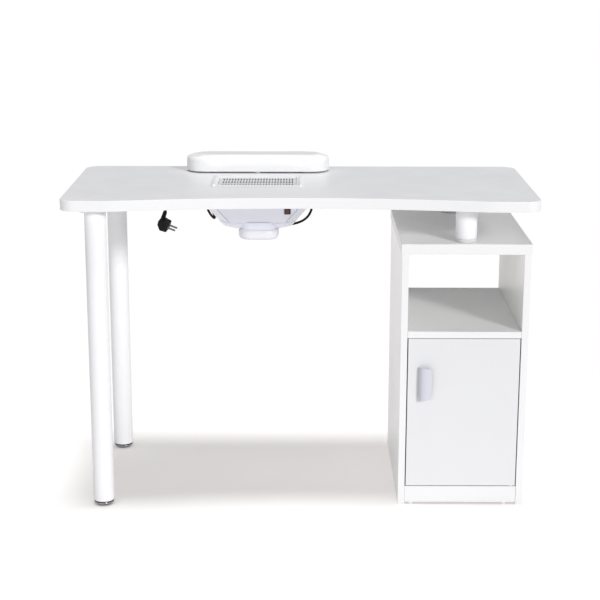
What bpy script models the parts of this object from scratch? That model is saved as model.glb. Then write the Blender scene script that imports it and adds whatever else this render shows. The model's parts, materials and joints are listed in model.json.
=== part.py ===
"""Manicure table with a built-in dust collector, modelled in metres with +Z up.

The origin is on the floor, under the middle of the table. +X is to the right of somebody who
faces the cupboard door, and -Y is the side that the door and the scooped front edge are on.
"""
import math

import bmesh
import bpy
from mathutils import Matrix, Vector

# ---------------------------------------------------------------- driving dimensions
GAP = 0.0003                       # between pieces that touch

TABLE_WIDTH = 1.100
TABLE_DEPTH = 0.500
TABLE_HEIGHT = 0.750
TOP_THICKNESS = 0.025
TOP_CORNER_RADIUS = 0.035
TOP_EDGE_BREAK = 0.001
SCOOP_DEPTH = 0.043                # hollow in the front edge
SCOOP_HALF_WIDTH = 0.430
SCOOP_SOFTNESS = 0.004             # how gently the hollow meets the straight ends

TUBE_RADIUS = 0.025
TUBE_WALL = 0.002
TUBE_SEGMENTS = 24
LEG_X = -0.473
LEG_FRONT_Y = -0.198
LEG_REAR_Y = 0.206
PLATE_SIZE = 0.068
PLATE_THICKNESS = 0.004
PLATE_HOLE_OFFSET = 0.0255
COLLAR_DEPTH = 0.022
FOOT_HEIGHT = 0.009
FOOT_RADIUS = 0.0237
STUD_RADIUS = 0.005
STUD_TOP = 0.045

BOARD = 0.016
CAB_LEFT = 0.236
CAB_WIDTH = 0.300
CAB_FRONT = -0.202
CAB_BACK = 0.232
CAB_TOP_Z = 0.642
CAB_TOP_THICKNESS = 0.025
CAB_TOP_OVERHANG = 0.002
SHELF_TOP_Z = 0.432
BOTTOM_TOP_Z = 0.046
KICK_BOTTOM_Z = 0.005
KICK_RECESS = 0.001
BACK_THICKNESS = 0.003
BACK_INSET = 0.004
POST_X = 0.386
POST_FRONT_Y = -0.168
POST_REAR_Y = 0.198
POST_BASE_HEIGHT = 0.008

DOOR_SIDE_GAP = 0.0025
DOOR_TOP_GAP = 0.0015
DOOR_BOTTOM_GAP = 0.002
PIVOT_FROM_EDGE = 0.0095
PIVOT_FROM_FACE = 0.0065

HANDLE_X = 0.2795                  # left edge of the handle
HANDLE_WIDTH = 0.0315
HANDLE_Z = 0.306
HANDLE_HEIGHT = 0.080
HANDLE_SHEET = 0.0022
HANDLE_SCREW_SPACING = 0.056

VENT_X = -0.104
VENT_Y = 0.0125
VENT_CUT = (0.103, 0.0685)         # half sizes of the cut-out in the top
BEZEL_HALF = (0.1085, 0.0735)
VENT_PLATE_Y = 0.0205
VENT_PLATE_HALF = (0.0950, 0.0565)
SLOT_PITCH = (0.007, 0.0375)
SLOT_SIZE = (0.0036, 0.028)
SLOT_COUNT = (25, 3)

HOUSING_Y = 0.016
HOUSING_WALL = 0.0025
OUTLET = (-0.1015, -0.008)         # centre of the outlet's neck
NECK_HALF = (0.0440, 0.026)
NECK_TOP = 0.6565
COLLAR_HALF = (0.0493, 0.031)
COLLAR_Z = (0.6150, 0.6402)

FAN_HALF = 0.0595
FAN_Z = (0.690, 0.715)
FAN_BORE = 0.057
FAN_HOLE_OFFSET = 0.0525
BLADE_COUNT = 7

SWITCH_X = -0.0313
SWITCH_Z = 0.6904
SWITCH_SIZE = (0.015, 0.020)

CUSHION_X = -0.108
CUSHION_Y = 0.178
CUSHION_LENGTH = 0.362
CUSHION_WIDTH = 0.090
CUSHION_Z = (0.755, 0.7955)
CUSHION_BOARD = 0.007

CORD_RADIUS = 0.003
CORD_TOP_Z = 0.7217                # centre of a cord that lies against the underside
COIL_CENTRE = (-0.090, 0.180)
COIL_MEAN_RADIUS = 0.033
COIL_HALF_WIDTH = 0.0066
COIL_Z = (0.7092, 0.7220)

UNDERSIDE = TABLE_HEIGHT - TOP_THICKNESS
TOUCH = UNDERSIDE - GAP            # top of a piece fixed to the underside
INNER_LEFT = CAB_LEFT + BOARD
INNER_RIGHT = CAB_LEFT + CAB_WIDTH - BOARD
SHELF_BOTTOM_Z = SHELF_TOP_Z - BOARD
CARCASS_TOP = CAB_TOP_Z - CAB_TOP_THICKNESS


# ---------------------------------------------------------------- materials
def material(name, colour, roughness, metallic=0.0):
    mat = bpy.data.materials.new(name)
    mat.use_nodes = True
    shader = mat.node_tree.nodes["Principled BSDF"]
    shader.inputs["Base Color"].default_value = (*colour, 1.0)
    shader.inputs["Roughness"].default_value = roughness
    shader.inputs["Metallic"].default_value = metallic
    return mat


def clear_scene():
    for obj in list(bpy.data.objects):
        bpy.data.objects.remove(obj, do_unlink=True)


# ---------------------------------------------------------------- mesh helpers
def finish(bm, name, mat, origin=(0.0, 0.0, 0.0), matrix=None, smooth=True):
    """Turn a bmesh in world coordinates into an object whose origin is at the given point."""
    bmesh.ops.recalc_face_normals(bm, faces=bm.faces)
    mesh = bpy.data.meshes.new(name)
    bm.to_mesh(mesh)
    bm.free()
    obj = bpy.data.objects.new(name, mesh)
    bpy.context.scene.collection.objects.link(obj)
    if matrix is not None:
        obj.matrix_world = matrix
    elif any(origin):
        mesh.transform(Matrix.Translation(-Vector(origin)))
        obj.location = origin
    if mat is not None:
        mesh.materials.append(mat)
    if smooth:
        mesh.shade_smooth()
        mesh.set_sharp_from_angle(angle=math.radians(35))
    return obj


def box(x, y, z):
    """A box between the pairs of limits x, y and z."""
    bm = bmesh.new()
    size = Vector((x[1] - x[0], y[1] - y[0], z[1] - z[0]))
    centre = Vector((x[0] + x[1], y[0] + y[1], z[0] + z[1])) / 2
    bmesh.ops.create_cube(bm, size=1.0, matrix=Matrix.Translation(centre) @ Matrix.Diagonal((*size, 1.0)))
    return bm


def cylinder(radius, x, y, z, segments=16):
    """An upright cylinder at x, y between the limits z."""
    bm = bmesh.new()
    place = Matrix.Translation((x, y, (z[0] + z[1]) / 2))
    bmesh.ops.create_cone(bm, cap_ends=True, segments=segments, radius1=radius, radius2=radius,
                          depth=z[1] - z[0], matrix=place)
    return bm


def prism(outline, z):
    """Extrude a closed outline of (x, y) points from z[0] to z[1]."""
    bm = bmesh.new()
    face = bm.faces.new([bm.verts.new((px, py, z[0])) for px, py in outline])
    extruded = bmesh.ops.extrude_face_region(bm, geom=[face])
    top = [item for item in extruded["geom"] if isinstance(item, bmesh.types.BMVert)]
    bmesh.ops.translate(bm, verts=top, vec=(0, 0, z[1] - z[0]))
    return bm


def loft(rings):
    """Skin equal rings of points, one after the other, and cap both ends."""
    bm = bmesh.new()
    loops = [[bm.verts.new(p) for p in ring] for ring in rings]
    count = len(rings[0])
    for lower, upper in zip(loops, loops[1:]):
        for i in range(count):
            j = (i + 1) % count
            bm.faces.new((lower[i], lower[j], upper[j], upper[i]))
    bm.faces.new(loops[0])
    bm.faces.new(list(reversed(loops[-1])))
    return bm


def turned(profile, x=0.0, y=0.0, segments=24):
    """Turn (radius, z) points about the upright axis at x, y; the profile starts and ends on the axis
    or closes on itself."""
    bm = bmesh.new()
    verts = [bm.verts.new((r, 0.0, z)) for r, z in profile]
    pairs = list(zip(verts, verts[1:]))
    if profile[0][0] > 0:
        pairs.append((verts[-1], verts[0]))
    edges = [bm.edges.new(pair) for pair in pairs]
    bmesh.ops.spin(bm, geom=verts + edges, cent=(0, 0, 0), axis=(0, 0, 1), dvec=(0, 0, 0),
                   angle=math.tau, steps=segments, use_merge=True)
    bmesh.ops.remove_doubles(bm, verts=bm.verts, dist=0.00001)
    bmesh.ops.translate(bm, verts=bm.verts, vec=(x, y, 0))
    return bm


def merged(*parts):
    """Put several bodies into one bmesh without joining their surfaces."""
    result = bmesh.new()
    for part in parts:
        mesh = bpy.data.meshes.new("piece")
        part.to_mesh(mesh)
        part.free()
        result.from_mesh(mesh)
        bpy.data.meshes.remove(mesh)
    return result


def moved(bm, matrix):
    bmesh.ops.transform(bm, matrix=matrix, verts=bm.verts)
    return bm


def combine(obj, tool, operation):
    """Boolean a bmesh tool, given in the object's own coordinates, with an object and keep the result."""
    cutter = finish(tool, "tool", None, smooth=False)
    bpy.context.view_layer.update()
    cutter.matrix_world = obj.matrix_world
    modifier = obj.modifiers.new("combine", "BOOLEAN")
    modifier.operation = operation
    modifier.object = cutter
    bpy.context.view_layer.update()
    depsgraph = bpy.context.evaluated_depsgraph_get()
    result = bpy.data.meshes.new_from_object(obj.evaluated_get(depsgraph))
    obj.modifiers.remove(modifier)
    old = obj.data
    obj.data = result
    result.name = old.name
    bpy.data.meshes.remove(old)
    bpy.data.objects.remove(cutter, do_unlink=True)
    result.shade_smooth()
    result.set_sharp_from_angle(angle=math.radians(35))
    return obj


def cut(obj, *tools):
    """Cut away tools that don't overlap one another."""
    return combine(obj, merged(*tools), "DIFFERENCE")


def join(obj, *tools):
    for tool in tools:
        combine(obj, tool, "UNION")
    return obj


def soften(obj, width, segments=1):
    """Break the sharp edges with a bevel that stays on the object."""
    bevel = obj.modifiers.new("edge", "BEVEL")
    bevel.width = width
    bevel.segments = segments
    bevel.limit_method = "ANGLE"
    bevel.angle_limit = math.radians(50)
    return obj


# ---------------------------------------------------------------- outlines
def rounded_rectangle(half_x, half_y, radius, steps=4, cx=0.0, cy=0.0):
    points = []
    for quarter, (sx, sy) in enumerate(((1, 1), (-1, 1), (-1, -1), (1, -1))):
        for step in range(steps + 1):
            angle = (quarter + step / steps) * math.pi / 2
            points.append((cx + sx * (half_x - radius) + radius * math.cos(angle),
                           cy + sy * (half_y - radius) + radius * math.sin(angle)))
    return points


def stadium(half_x, half_y, steps=8, cx=0.0, cy=0.0):
    points = []
    for side, sign in enumerate((1, -1)):
        for step in range(steps + 1):
            angle = -math.pi / 2 + (side + step / steps) * math.pi
            points.append((cx + sign * (half_x - half_y) + half_y * math.cos(angle),
                           cy + half_y * math.sin(angle)))
    return points


def chamfered_ring(half_x, half_y, chamfer, z):
    """Eight corners of a rectangle with cut corners, around the middle of the collector housing."""
    corners = []
    for sx, sy, first_along_x in ((1, 1, False), (-1, 1, True), (-1, -1, False), (1, -1, True)):
        near_x = (VENT_X + sx * (half_x - chamfer), HOUSING_Y + sy * half_y, z)
        near_y = (VENT_X + sx * half_x, HOUSING_Y + sy * (half_y - chamfer), z)
        corners += [near_x, near_y] if first_along_x else [near_y, near_x]
    return corners


def scoop(x):
    """How far the front edge is hollowed at x: an arc that dies out softly at both ends."""
    arc = SCOOP_DEPTH * (1 - (x / SCOOP_HALF_WIDTH) ** 2)
    return (arc + math.hypot(arc, SCOOP_SOFTNESS)) / 2


def tabletop_outline(front_steps=32, corner_steps=5):
    half_x = TABLE_WIDTH / 2
    half_y = TABLE_DEPTH / 2
    radius = TOP_CORNER_RADIUS
    points = []
    for quarter, sx, sy in ((0, 1, 1), (1, -1, 1), (2, -1, -1)):
        for step in range(corner_steps + 1):
            angle = (quarter + step / corner_steps) * math.pi / 2
            points.append((sx * (half_x - radius) + radius * math.cos(angle),
                           sy * (half_y - radius) + radius * math.sin(angle)))
    reach = half_x - radius
    for step in range(1, front_steps):
        x = -reach + 2 * reach * step / front_steps
        points.append((x, -half_y + scoop(x)))
    for step in range(corner_steps + 1):
        angle = (3 + step / corner_steps) * math.pi / 2
        points.append((half_x - radius + radius * math.cos(angle),
                       -half_y + radius + radius * math.sin(angle)))
    return points


# ---------------------------------------------------------------- fasteners
def screw_head(x, y, z_seat, radius=0.0042, height=0.0028, segments=10):
    """The rounded head of a screw that is driven upwards, sunk a little into the piece that it holds."""
    return turned([(0, z_seat + 0.0008), (radius, z_seat + 0.0008), (radius, z_seat),
                   (radius * 0.75, z_seat - height), (0, z_seat - height)], x, y, segments)


def lug_places():
    """The middles of the screws in the lugs at the front and back of the collector housing."""
    return [(VENT_X + sx * 0.062, HOUSING_Y + sy * 0.097) for sx in (-1, 1) for sy in (-1, 1)]


# ---------------------------------------------------------------- tabletop, legs and posts
def make_tabletop(mats):
    top = finish(prism(tabletop_outline(), (UNDERSIDE, TABLE_HEIGHT)), "tabletop", mats["laminate"])
    cut(top, prism(rounded_rectangle(*VENT_CUT, 0.006, 3, VENT_X, VENT_Y),
                   (UNDERSIDE - 0.01, TABLE_HEIGHT + 0.01)))
    soften(top, TOP_EDGE_BREAK)


def mounting_plate(name, x, y, mat):
    """Square steel plate with a collar that the tube slides over."""
    z_top = TOUCH
    z_low = z_top - PLATE_THICKNESS
    half = PLATE_SIZE / 2
    plate = finish(prism(rounded_rectangle(half, half, 0.008, 3, x, y), (z_low, z_top)), name, mat)
    collar_radius = TUBE_RADIUS - TUBE_WALL - GAP
    collar = cylinder(collar_radius, x, y, (z_low - COLLAR_DEPTH, z_low + 0.001), TUBE_SEGMENTS)
    heads = [screw_head(x + sx * PLATE_HOLE_OFFSET, y + sy * PLATE_HOLE_OFFSET, z_low) for sx in (-1, 1)
             for sy in (-1, 1)]
    join(plate, collar, *heads)
    cut(plate, cylinder(collar_radius - 0.003, x, y, (z_low - COLLAR_DEPTH - 0.01, z_low), TUBE_SEGMENTS))


def tube(name, x, y, z, mat):
    outer = TUBE_RADIUS
    inner = TUBE_RADIUS - TUBE_WALL
    profile = [(outer, z[1]), (outer, z[0]), (inner, z[0]), (inner, z[1])]
    return finish(turned(profile, x, y, TUBE_SEGMENTS), name, mat)


def make_legs(mats):
    tube_top = TOUCH - PLATE_THICKNESS - GAP
    flange_low = FOOT_HEIGHT + GAP
    flange_top = flange_low + 0.002
    for name, y in (("leg_front", LEG_FRONT_Y), ("leg_rear", LEG_REAR_Y)):
        mounting_plate(name + "_plate", LEG_X, y, mats["powder_coat"])
        tube(name + "_tube", LEG_X, y, (flange_top + GAP, tube_top), mats["powder_coat"])
        body = TUBE_RADIUS - TUBE_WALL - GAP
        insert = [(0.0245, flange_top), (0.0245, flange_low), (STUD_RADIUS + GAP, flange_low),
                  (STUD_RADIUS + GAP, 0.034), (body, 0.034), (body, flange_top)]
        finish(turned(insert, LEG_X, y, 20), name + "_insert", mats["black_plastic"])
        foot = [(0, STUD_TOP), (STUD_RADIUS, STUD_TOP), (STUD_RADIUS, FOOT_HEIGHT),
                (FOOT_RADIUS - 0.0004, FOOT_HEIGHT), (FOOT_RADIUS, FOOT_HEIGHT - 0.0008),
                (FOOT_RADIUS, 0.0058), (0.0215, 0.0022), (0.0168, 0), (0, 0)]
        finish(turned(foot, LEG_X, y, 22), name + "_foot", mats["chrome"], origin=(LEG_X, y, 0))


def make_posts(mats):
    tube_top = TOUCH - PLATE_THICKNESS - GAP
    base = CAB_TOP_Z + GAP
    rim = CAB_TOP_Z + POST_BASE_HEIGHT
    body = TUBE_RADIUS - TUBE_WALL - GAP
    bolt = 0.004
    seat = CARCASS_TOP - GAP
    for name, y in (("post_front", POST_FRONT_Y), ("post_rear", POST_REAR_Y)):
        mounting_plate(name + "_plate", POST_X, y, mats["powder_coat"])
        tube(name + "_tube", POST_X, y, (rim + GAP, tube_top), mats["powder_coat"])
        plug = [(TUBE_RADIUS, rim), (TUBE_RADIUS, base), (bolt + GAP, base), (bolt + GAP, rim + 0.020),
                (body, rim + 0.020), (body, rim)]
        finish(turned(plug, POST_X, y, 20), name + "_base", mats["base_plastic"])
        shape = [(0, rim + 0.016), (bolt, rim + 0.016), (bolt, seat), (0.0085, seat),
                 (0.0075, seat - 0.004), (0, seat - 0.004)]
        finish(turned(shape, POST_X, y, 12), name + "_bolt", mats["steel"])


# ---------------------------------------------------------------- cabinet
def along(start, direction, radius, z, segments):
    """A cylinder on a line: z gives its ends as distances from start."""
    turn = Vector((0, 0, 1)).rotation_difference(direction).to_matrix().to_4x4()
    return moved(cylinder(radius, 0, 0, z, segments), Matrix.Translation(start) @ turn)


def board(name, x, y, z, mat, tools=(), origin=(0.0, 0.0, 0.0)):
    """A panel with softly broken edges and holes cut by tools, which are in world coordinates."""
    bm = box(x, y, z)
    bmesh.ops.bevel(bm, geom=bm.edges[:], offset=0.0005, segments=1, affect="EDGES")
    panel = finish(bm, name, mat, origin=origin)
    if tools:
        cut(panel, moved(merged(*tools), Matrix.Translation(-Vector(origin))))
    return panel


def hinge_axis():
    return INNER_RIGHT - DOOR_SIDE_GAP - PIVOT_FROM_EDGE, CAB_FRONT + PIVOT_FROM_FACE


PIN_ROOT = 0.003
PIN_NOSE = 0.002
BUSH_RADIUS = 0.0035
BUSH_DEPTH = 0.009


def make_cabinet(mats):
    white = mats["laminate"]
    right = CAB_LEFT + CAB_WIDTH
    depth = (CAB_FRONT, CAB_BACK)
    hinge_x, hinge_y = hinge_axis()
    board("cabinet_top", (CAB_LEFT - CAB_TOP_OVERHANG, right + CAB_TOP_OVERHANG),
          (CAB_FRONT - CAB_TOP_OVERHANG, CAB_BACK + CAB_TOP_OVERHANG), (CARCASS_TOP + GAP, CAB_TOP_Z),
          white,
          [cylinder(0.0043, POST_X, y, (CARCASS_TOP - 0.01, CAB_TOP_Z + 0.01), 12)
           for y in (POST_FRONT_Y, POST_REAR_Y)])
    board("cabinet_side_left", (CAB_LEFT, INNER_LEFT), depth, (0, CARCASS_TOP), white)
    board("cabinet_side_right", (INNER_RIGHT, right), depth, (0, CARCASS_TOP), white)
    inner = (INNER_LEFT + GAP, INNER_RIGHT - GAP)
    board("cabinet_shelf", inner, depth, (SHELF_BOTTOM_Z, SHELF_TOP_Z), white,
          [cylinder(BUSH_RADIUS + GAP, hinge_x, hinge_y,
                    (SHELF_BOTTOM_Z - 0.002, SHELF_BOTTOM_Z + BUSH_DEPTH), 14)])
    kick_back = CAB_FRONT + KICK_RECESS + BOARD
    board("cabinet_bottom", inner, (kick_back + GAP, CAB_BACK), (BOTTOM_TOP_Z - BOARD, BOTTOM_TOP_Z), white)
    board("cabinet_back", inner, (CAB_BACK - BACK_INSET - BACK_THICKNESS, CAB_BACK - BACK_INSET),
          (BOTTOM_TOP_Z + GAP, SHELF_BOTTOM_Z - GAP), white)
    glide_y = CAB_FRONT + KICK_RECESS + BOARD / 2
    glides = (("cabinet_glide_left", INNER_LEFT + 0.015), ("cabinet_glide_right", INNER_RIGHT - 0.028))
    tools = [cylinder(0.0015, x, glide_y, (KICK_BOTTOM_Z - 0.002, KICK_BOTTOM_Z + 0.011), 8)
             for _, x in glides]
    tools.append(cylinder(BUSH_RADIUS + GAP, hinge_x, hinge_y,
                          (BOTTOM_TOP_Z - BUSH_DEPTH, BOTTOM_TOP_Z + 0.002), 14))
    board("cabinet_kick_plate", inner, (CAB_FRONT + KICK_RECESS, kick_back), (KICK_BOTTOM_Z, BOTTOM_TOP_Z),
          white, tools)
    top = KICK_BOTTOM_Z - GAP
    for name, x in glides:
        shape = [(0, KICK_BOTTOM_Z + 0.010), (0.0012, KICK_BOTTOM_Z + 0.009), (0.0012, top), (0.0055, top),
                 (0.0055, 0.0015), (0.0042, 0), (0, 0)]
        finish(turned(shape, x, glide_y, 14), name, mats["white_plastic"])


# ---------------------------------------------------------------- door
CATCH_X = (0.262, 0.298)
CATCH_DEPTH = 0.015
CATCH_HEIGHT = 0.014


def handle_curve(steps=8):
    """Section of the pull, as (across, out) pairs: it leaves the door, crowns and turns back as a lip."""
    start, lift, fall, lip = (0.0, 0.0), (0.02, 0.60), (0.55, 0.64), (1.0, 0.36)
    points = []
    for step in range(steps + 1):
        t = step / steps
        weights = ((1 - t) ** 3, 3 * t * (1 - t) ** 2, 3 * t * t * (1 - t), t ** 3)
        points.append(tuple(HANDLE_WIDTH * sum(w * p[axis]
                                               for w, p in zip(weights, (start, lift, fall, lip)))
                            for axis in (0, 1)))
    return points


def handle_section():
    """The curve given a thickness towards the door."""
    outer = handle_curve()
    inner = []
    for index, (across, out) in enumerate(outer):
        before = outer[max(index - 1, 0)]
        after = outer[min(index + 1, len(outer) - 1)]
        along_x = after[0] - before[0]
        along_y = after[1] - before[1]
        length = math.hypot(along_x, along_y)
        inner.append((across + along_y / length * HANDLE_SHEET, out - along_x / length * HANDLE_SHEET))
    inner[0] = (outer[0][0] + HANDLE_SHEET, 0.0)
    return outer + list(reversed(inner))


def make_handle(mats, face):
    section = handle_section()
    low = HANDLE_Z - HANDLE_HEIGHT / 2
    high = HANDLE_Z + HANDLE_HEIGHT / 2
    shell = prism([(HANDLE_X + across, face - GAP - out) for across, out in section], (low, high))
    handle = finish(shell, "door_handle", mats["handle_plastic"])
    boss_x = HANDLE_X + HANDLE_WIDTH * 0.36
    crown = max(out for _, out in section)
    outward = Vector((0, -1, 0))
    places = [Vector((boss_x, face, HANDLE_Z + sign * HANDLE_SCREW_SPACING / 2)) for sign in (-1, 1)]
    join(handle, *[along(place, outward, 0.0042, (GAP, crown - 0.0008), 14) for place in places])
    cut(handle, *[along(place, outward, 0.0019, (-0.002, 0.009), 10) for place in places])
    return places


def make_door(mats):
    left = INNER_LEFT + DOOR_SIDE_GAP
    right = INNER_RIGHT - DOOR_SIDE_GAP
    low = BOTTOM_TOP_Z + DOOR_BOTTOM_GAP
    high = SHELF_BOTTOM_Z - DOOR_TOP_GAP
    back = CAB_FRONT + BOARD
    hinge_x, hinge_y = hinge_axis()
    origin = (hinge_x, hinge_y, (low + high) / 2)
    screw_places = make_handle(mats, CAB_FRONT)
    outward = Vector((0, -1, 0))
    strike_x = (CATCH_X[0] + CATCH_X[1]) / 2
    strike_z = high - 0.009
    tools = [cylinder(PIN_ROOT + GAP, hinge_x, hinge_y, (low - 0.002, low + 0.020), 12),
             cylinder(PIN_ROOT + GAP, hinge_x, hinge_y, (high - 0.020, high + 0.002), 12),
             along(Vector((strike_x, back, strike_z)), outward, 0.0014, (-0.002, 0.011), 8)]
    tools += [along(place, outward, 0.0019, (-BOARD - 0.002, 0.002), 10) for place in screw_places]
    board("door", (left, right), (CAB_FRONT, back), (low, high), mats["laminate"], tools, origin)

    for name, edge, sign in (("door_pivot_lower", low, -1), ("door_pivot_upper", high, 1)):
        pin = turned([(0, 0.0085), (PIN_NOSE, 0.0085), (PIN_NOSE, 0), (PIN_ROOT, 0), (PIN_ROOT, -0.019),
                      (0, -0.019)],
                     0, 0, 12)
        if sign < 0:
            moved(pin, Matrix.Rotation(math.pi, 4, "X"))
        moved(pin, Matrix.Translation((hinge_x, hinge_y, edge)))
        finish(pin, name, mats["steel"], origin=(hinge_x, hinge_y, edge))

    bore = PIN_NOSE + GAP
    upper = [(BUSH_RADIUS, SHELF_BOTTOM_Z + GAP), (BUSH_RADIUS, SHELF_BOTTOM_Z + BUSH_DEPTH - GAP),
             (bore, SHELF_BOTTOM_Z + BUSH_DEPTH - GAP), (bore, SHELF_BOTTOM_Z + GAP)]
    rim = BOTTOM_TOP_Z + DOOR_BOTTOM_GAP - GAP
    lower = [(0.005, rim), (0.005, BOTTOM_TOP_Z + GAP), (BUSH_RADIUS, BOTTOM_TOP_Z + GAP),
             (BUSH_RADIUS, BOTTOM_TOP_Z - BUSH_DEPTH + GAP), (bore, BOTTOM_TOP_Z - BUSH_DEPTH + GAP),
             (bore, rim)]
    finish(turned(upper, hinge_x, hinge_y, 14), "door_bush_upper", mats["white_plastic"])
    finish(turned(lower, hinge_x, hinge_y, 14), "door_bush_lower", mats["white_plastic"])

    turn = Vector((0, 0, 1)).rotation_difference(outward).to_matrix().to_4x4()
    for name, place in zip(("handle_screw_lower", "handle_screw_upper"), screw_places):
        seat = place + Vector((0, BOARD + GAP, 0))
        shape = turned([(0, 0.024), (0.0016, 0.024), (0.0016, 0), (0.0038, 0), (0.003, -0.0022),
                        (0, -0.0022)], 0, 0, 10)
        finish(moved(shape, Matrix.Translation(seat) @ turn), name, mats["steel"], origin=origin)

    strike = finish(box((strike_x - 0.016, strike_x + 0.016), (back + GAP, back + 0.0015),
                        (strike_z - 0.006, strike_z + 0.006)),
                    "catch_strike", mats["steel"], origin=origin)
    stem = along(Vector((strike_x, back, strike_z)), outward, 0.0011, (-0.001, 0.010), 8)
    join(strike, moved(stem, Matrix.Translation(-Vector(origin))))

    catch_y = (back + 0.003, back + 0.003 + CATCH_DEPTH)
    catch_z = (SHELF_BOTTOM_Z - CATCH_HEIGHT, SHELF_BOTTOM_Z - GAP)
    body = finish(box(CATCH_X, catch_y, catch_z), "catch_body", mats["white_plastic"])
    middle_y = (catch_y[0] + catch_y[1]) / 2
    join(body, *[screw_head(x, middle_y, catch_z[0], 0.0026, 0.0014, 8)
                 for x in (CATCH_X[0] + 0.005, CATCH_X[1] - 0.005)])


# ---------------------------------------------------------------- vent
def make_vent(mats):
    flange_z = (TABLE_HEIGHT + GAP, TABLE_HEIGHT + 0.0022)
    ledge_z = 0.7460
    bezel = finish(prism(rounded_rectangle(*BEZEL_HALF, 0.008, 3, VENT_X, VENT_Y), flange_z), "vent_bezel",
                   mats["collector_plastic"])
    rims = [prism(rounded_rectangle(0.0040, BEZEL_HALF[1] - 0.002, 0.0038, 3,
                                    VENT_X + sign * (BEZEL_HALF[0] - 0.0045), VENT_Y),
                  (flange_z[1] - 0.0008, flange_z[1] + 0.0026)) for sign in (-1, 1)]
    skirt = rounded_rectangle(VENT_CUT[0] - GAP, VENT_CUT[1] - GAP, 0.0057, 3, VENT_X, VENT_Y)
    join(bezel, prism(skirt, (UNDERSIDE + 0.002, flange_z[1] - 0.0005)), *rims)
    seat = rounded_rectangle(VENT_PLATE_HALF[0] + 0.0005, VENT_PLATE_HALF[1] + 0.0005, 0.003, 2, VENT_X,
                             VENT_PLATE_Y)
    mouth = rounded_rectangle(VENT_PLATE_HALF[0] - 0.004, VENT_PLATE_HALF[1] - 0.004, 0.003, 2, VENT_X,
                              VENT_PLATE_Y)
    cut(bezel, prism(seat, (ledge_z, TABLE_HEIGHT + 0.02)))
    cut(bezel, prism(mouth, (UNDERSIDE - 0.01, TABLE_HEIGHT)))
    plate_z = (ledge_z + GAP, ledge_z + 0.0018)
    origin = (VENT_X, VENT_PLATE_Y, plate_z[0])
    outline = rounded_rectangle(*VENT_PLATE_HALF, 0.0028, 2, VENT_X, VENT_PLATE_Y)
    plate = finish(prism(outline, plate_z), "vent_plate", mats["vent_metal"], origin=origin)
    half_x = SLOT_SIZE[0] / 2
    half_y = SLOT_SIZE[1] / 2
    slots = []
    for column in range(SLOT_COUNT[0]):
        for row in range(SLOT_COUNT[1]):
            x = (column - (SLOT_COUNT[0] - 1) / 2) * SLOT_PITCH[0]
            y = (row - (SLOT_COUNT[1] - 1) / 2) * SLOT_PITCH[1]
            slots.append(box((x - half_x, x + half_x), (y - half_y, y + half_y), (-0.01, 0.01)))
    cut(plate, *slots)


# ---------------------------------------------------------------- dust collector
WALL_SLOPE = 0.60                  # how much the front and back walls close in for each metre down
HOPPER_TOP = (0.119, 0.088, 0.024)
HOPPER_RINGS = ((0.692, 0.119, 0.024), (0.656, 0.0925, 0.026))
HOPPER_FLOOR = ((0.6450, 0.0830, 0.0375, 0.024), (0.6405, 0.0730, 0.031, 0.020))


def hopper(inset, top):
    """The funnel's surface, moved inwards by inset; the top ring is at height top."""
    half_x, half_y, chamfer = HOPPER_TOP

    def depth(z):
        return half_y - WALL_SLOPE * (TOUCH - z)

    rings = [chamfered_ring(half_x - inset, depth(top) - inset * 1.17, chamfer, top)]
    rings += [chamfered_ring(hx - inset, depth(z) - inset * 1.17, cut_off, z)
              for z, hx, cut_off in HOPPER_RINGS]
    rings += [chamfered_ring(hx - inset, hy - inset, cut_off, z + inset)
              for z, hx, hy, cut_off in HOPPER_FLOOR]
    return loft(rings)


def wall_frame(x, z):
    """Frame on the sloping front wall: local Z points out of the wall and local Y up along it."""
    y = HOUSING_Y - (HOPPER_TOP[1] - WALL_SLOPE * (TOUCH - z))
    lean = math.atan(WALL_SLOPE)
    return Matrix.Translation((x, y, z)) @ Matrix.Rotation(math.pi / 2 + lean, 4, "X")


def back_wall_frame(x, z):
    """Frame on the sloping back wall, with local Z pointing out of it."""
    y = HOUSING_Y + (HOPPER_TOP[1] - WALL_SLOPE * (TOUCH - z))
    lean = math.atan(WALL_SLOPE)
    return Matrix.Translation((x, y, z)) @ Matrix.Rotation(-math.pi / 2 - lean, 4, "X")


RELIEF_X = -0.058
RELIEF_Z = 0.662
RELIEF_LENGTH = 0.024


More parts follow.
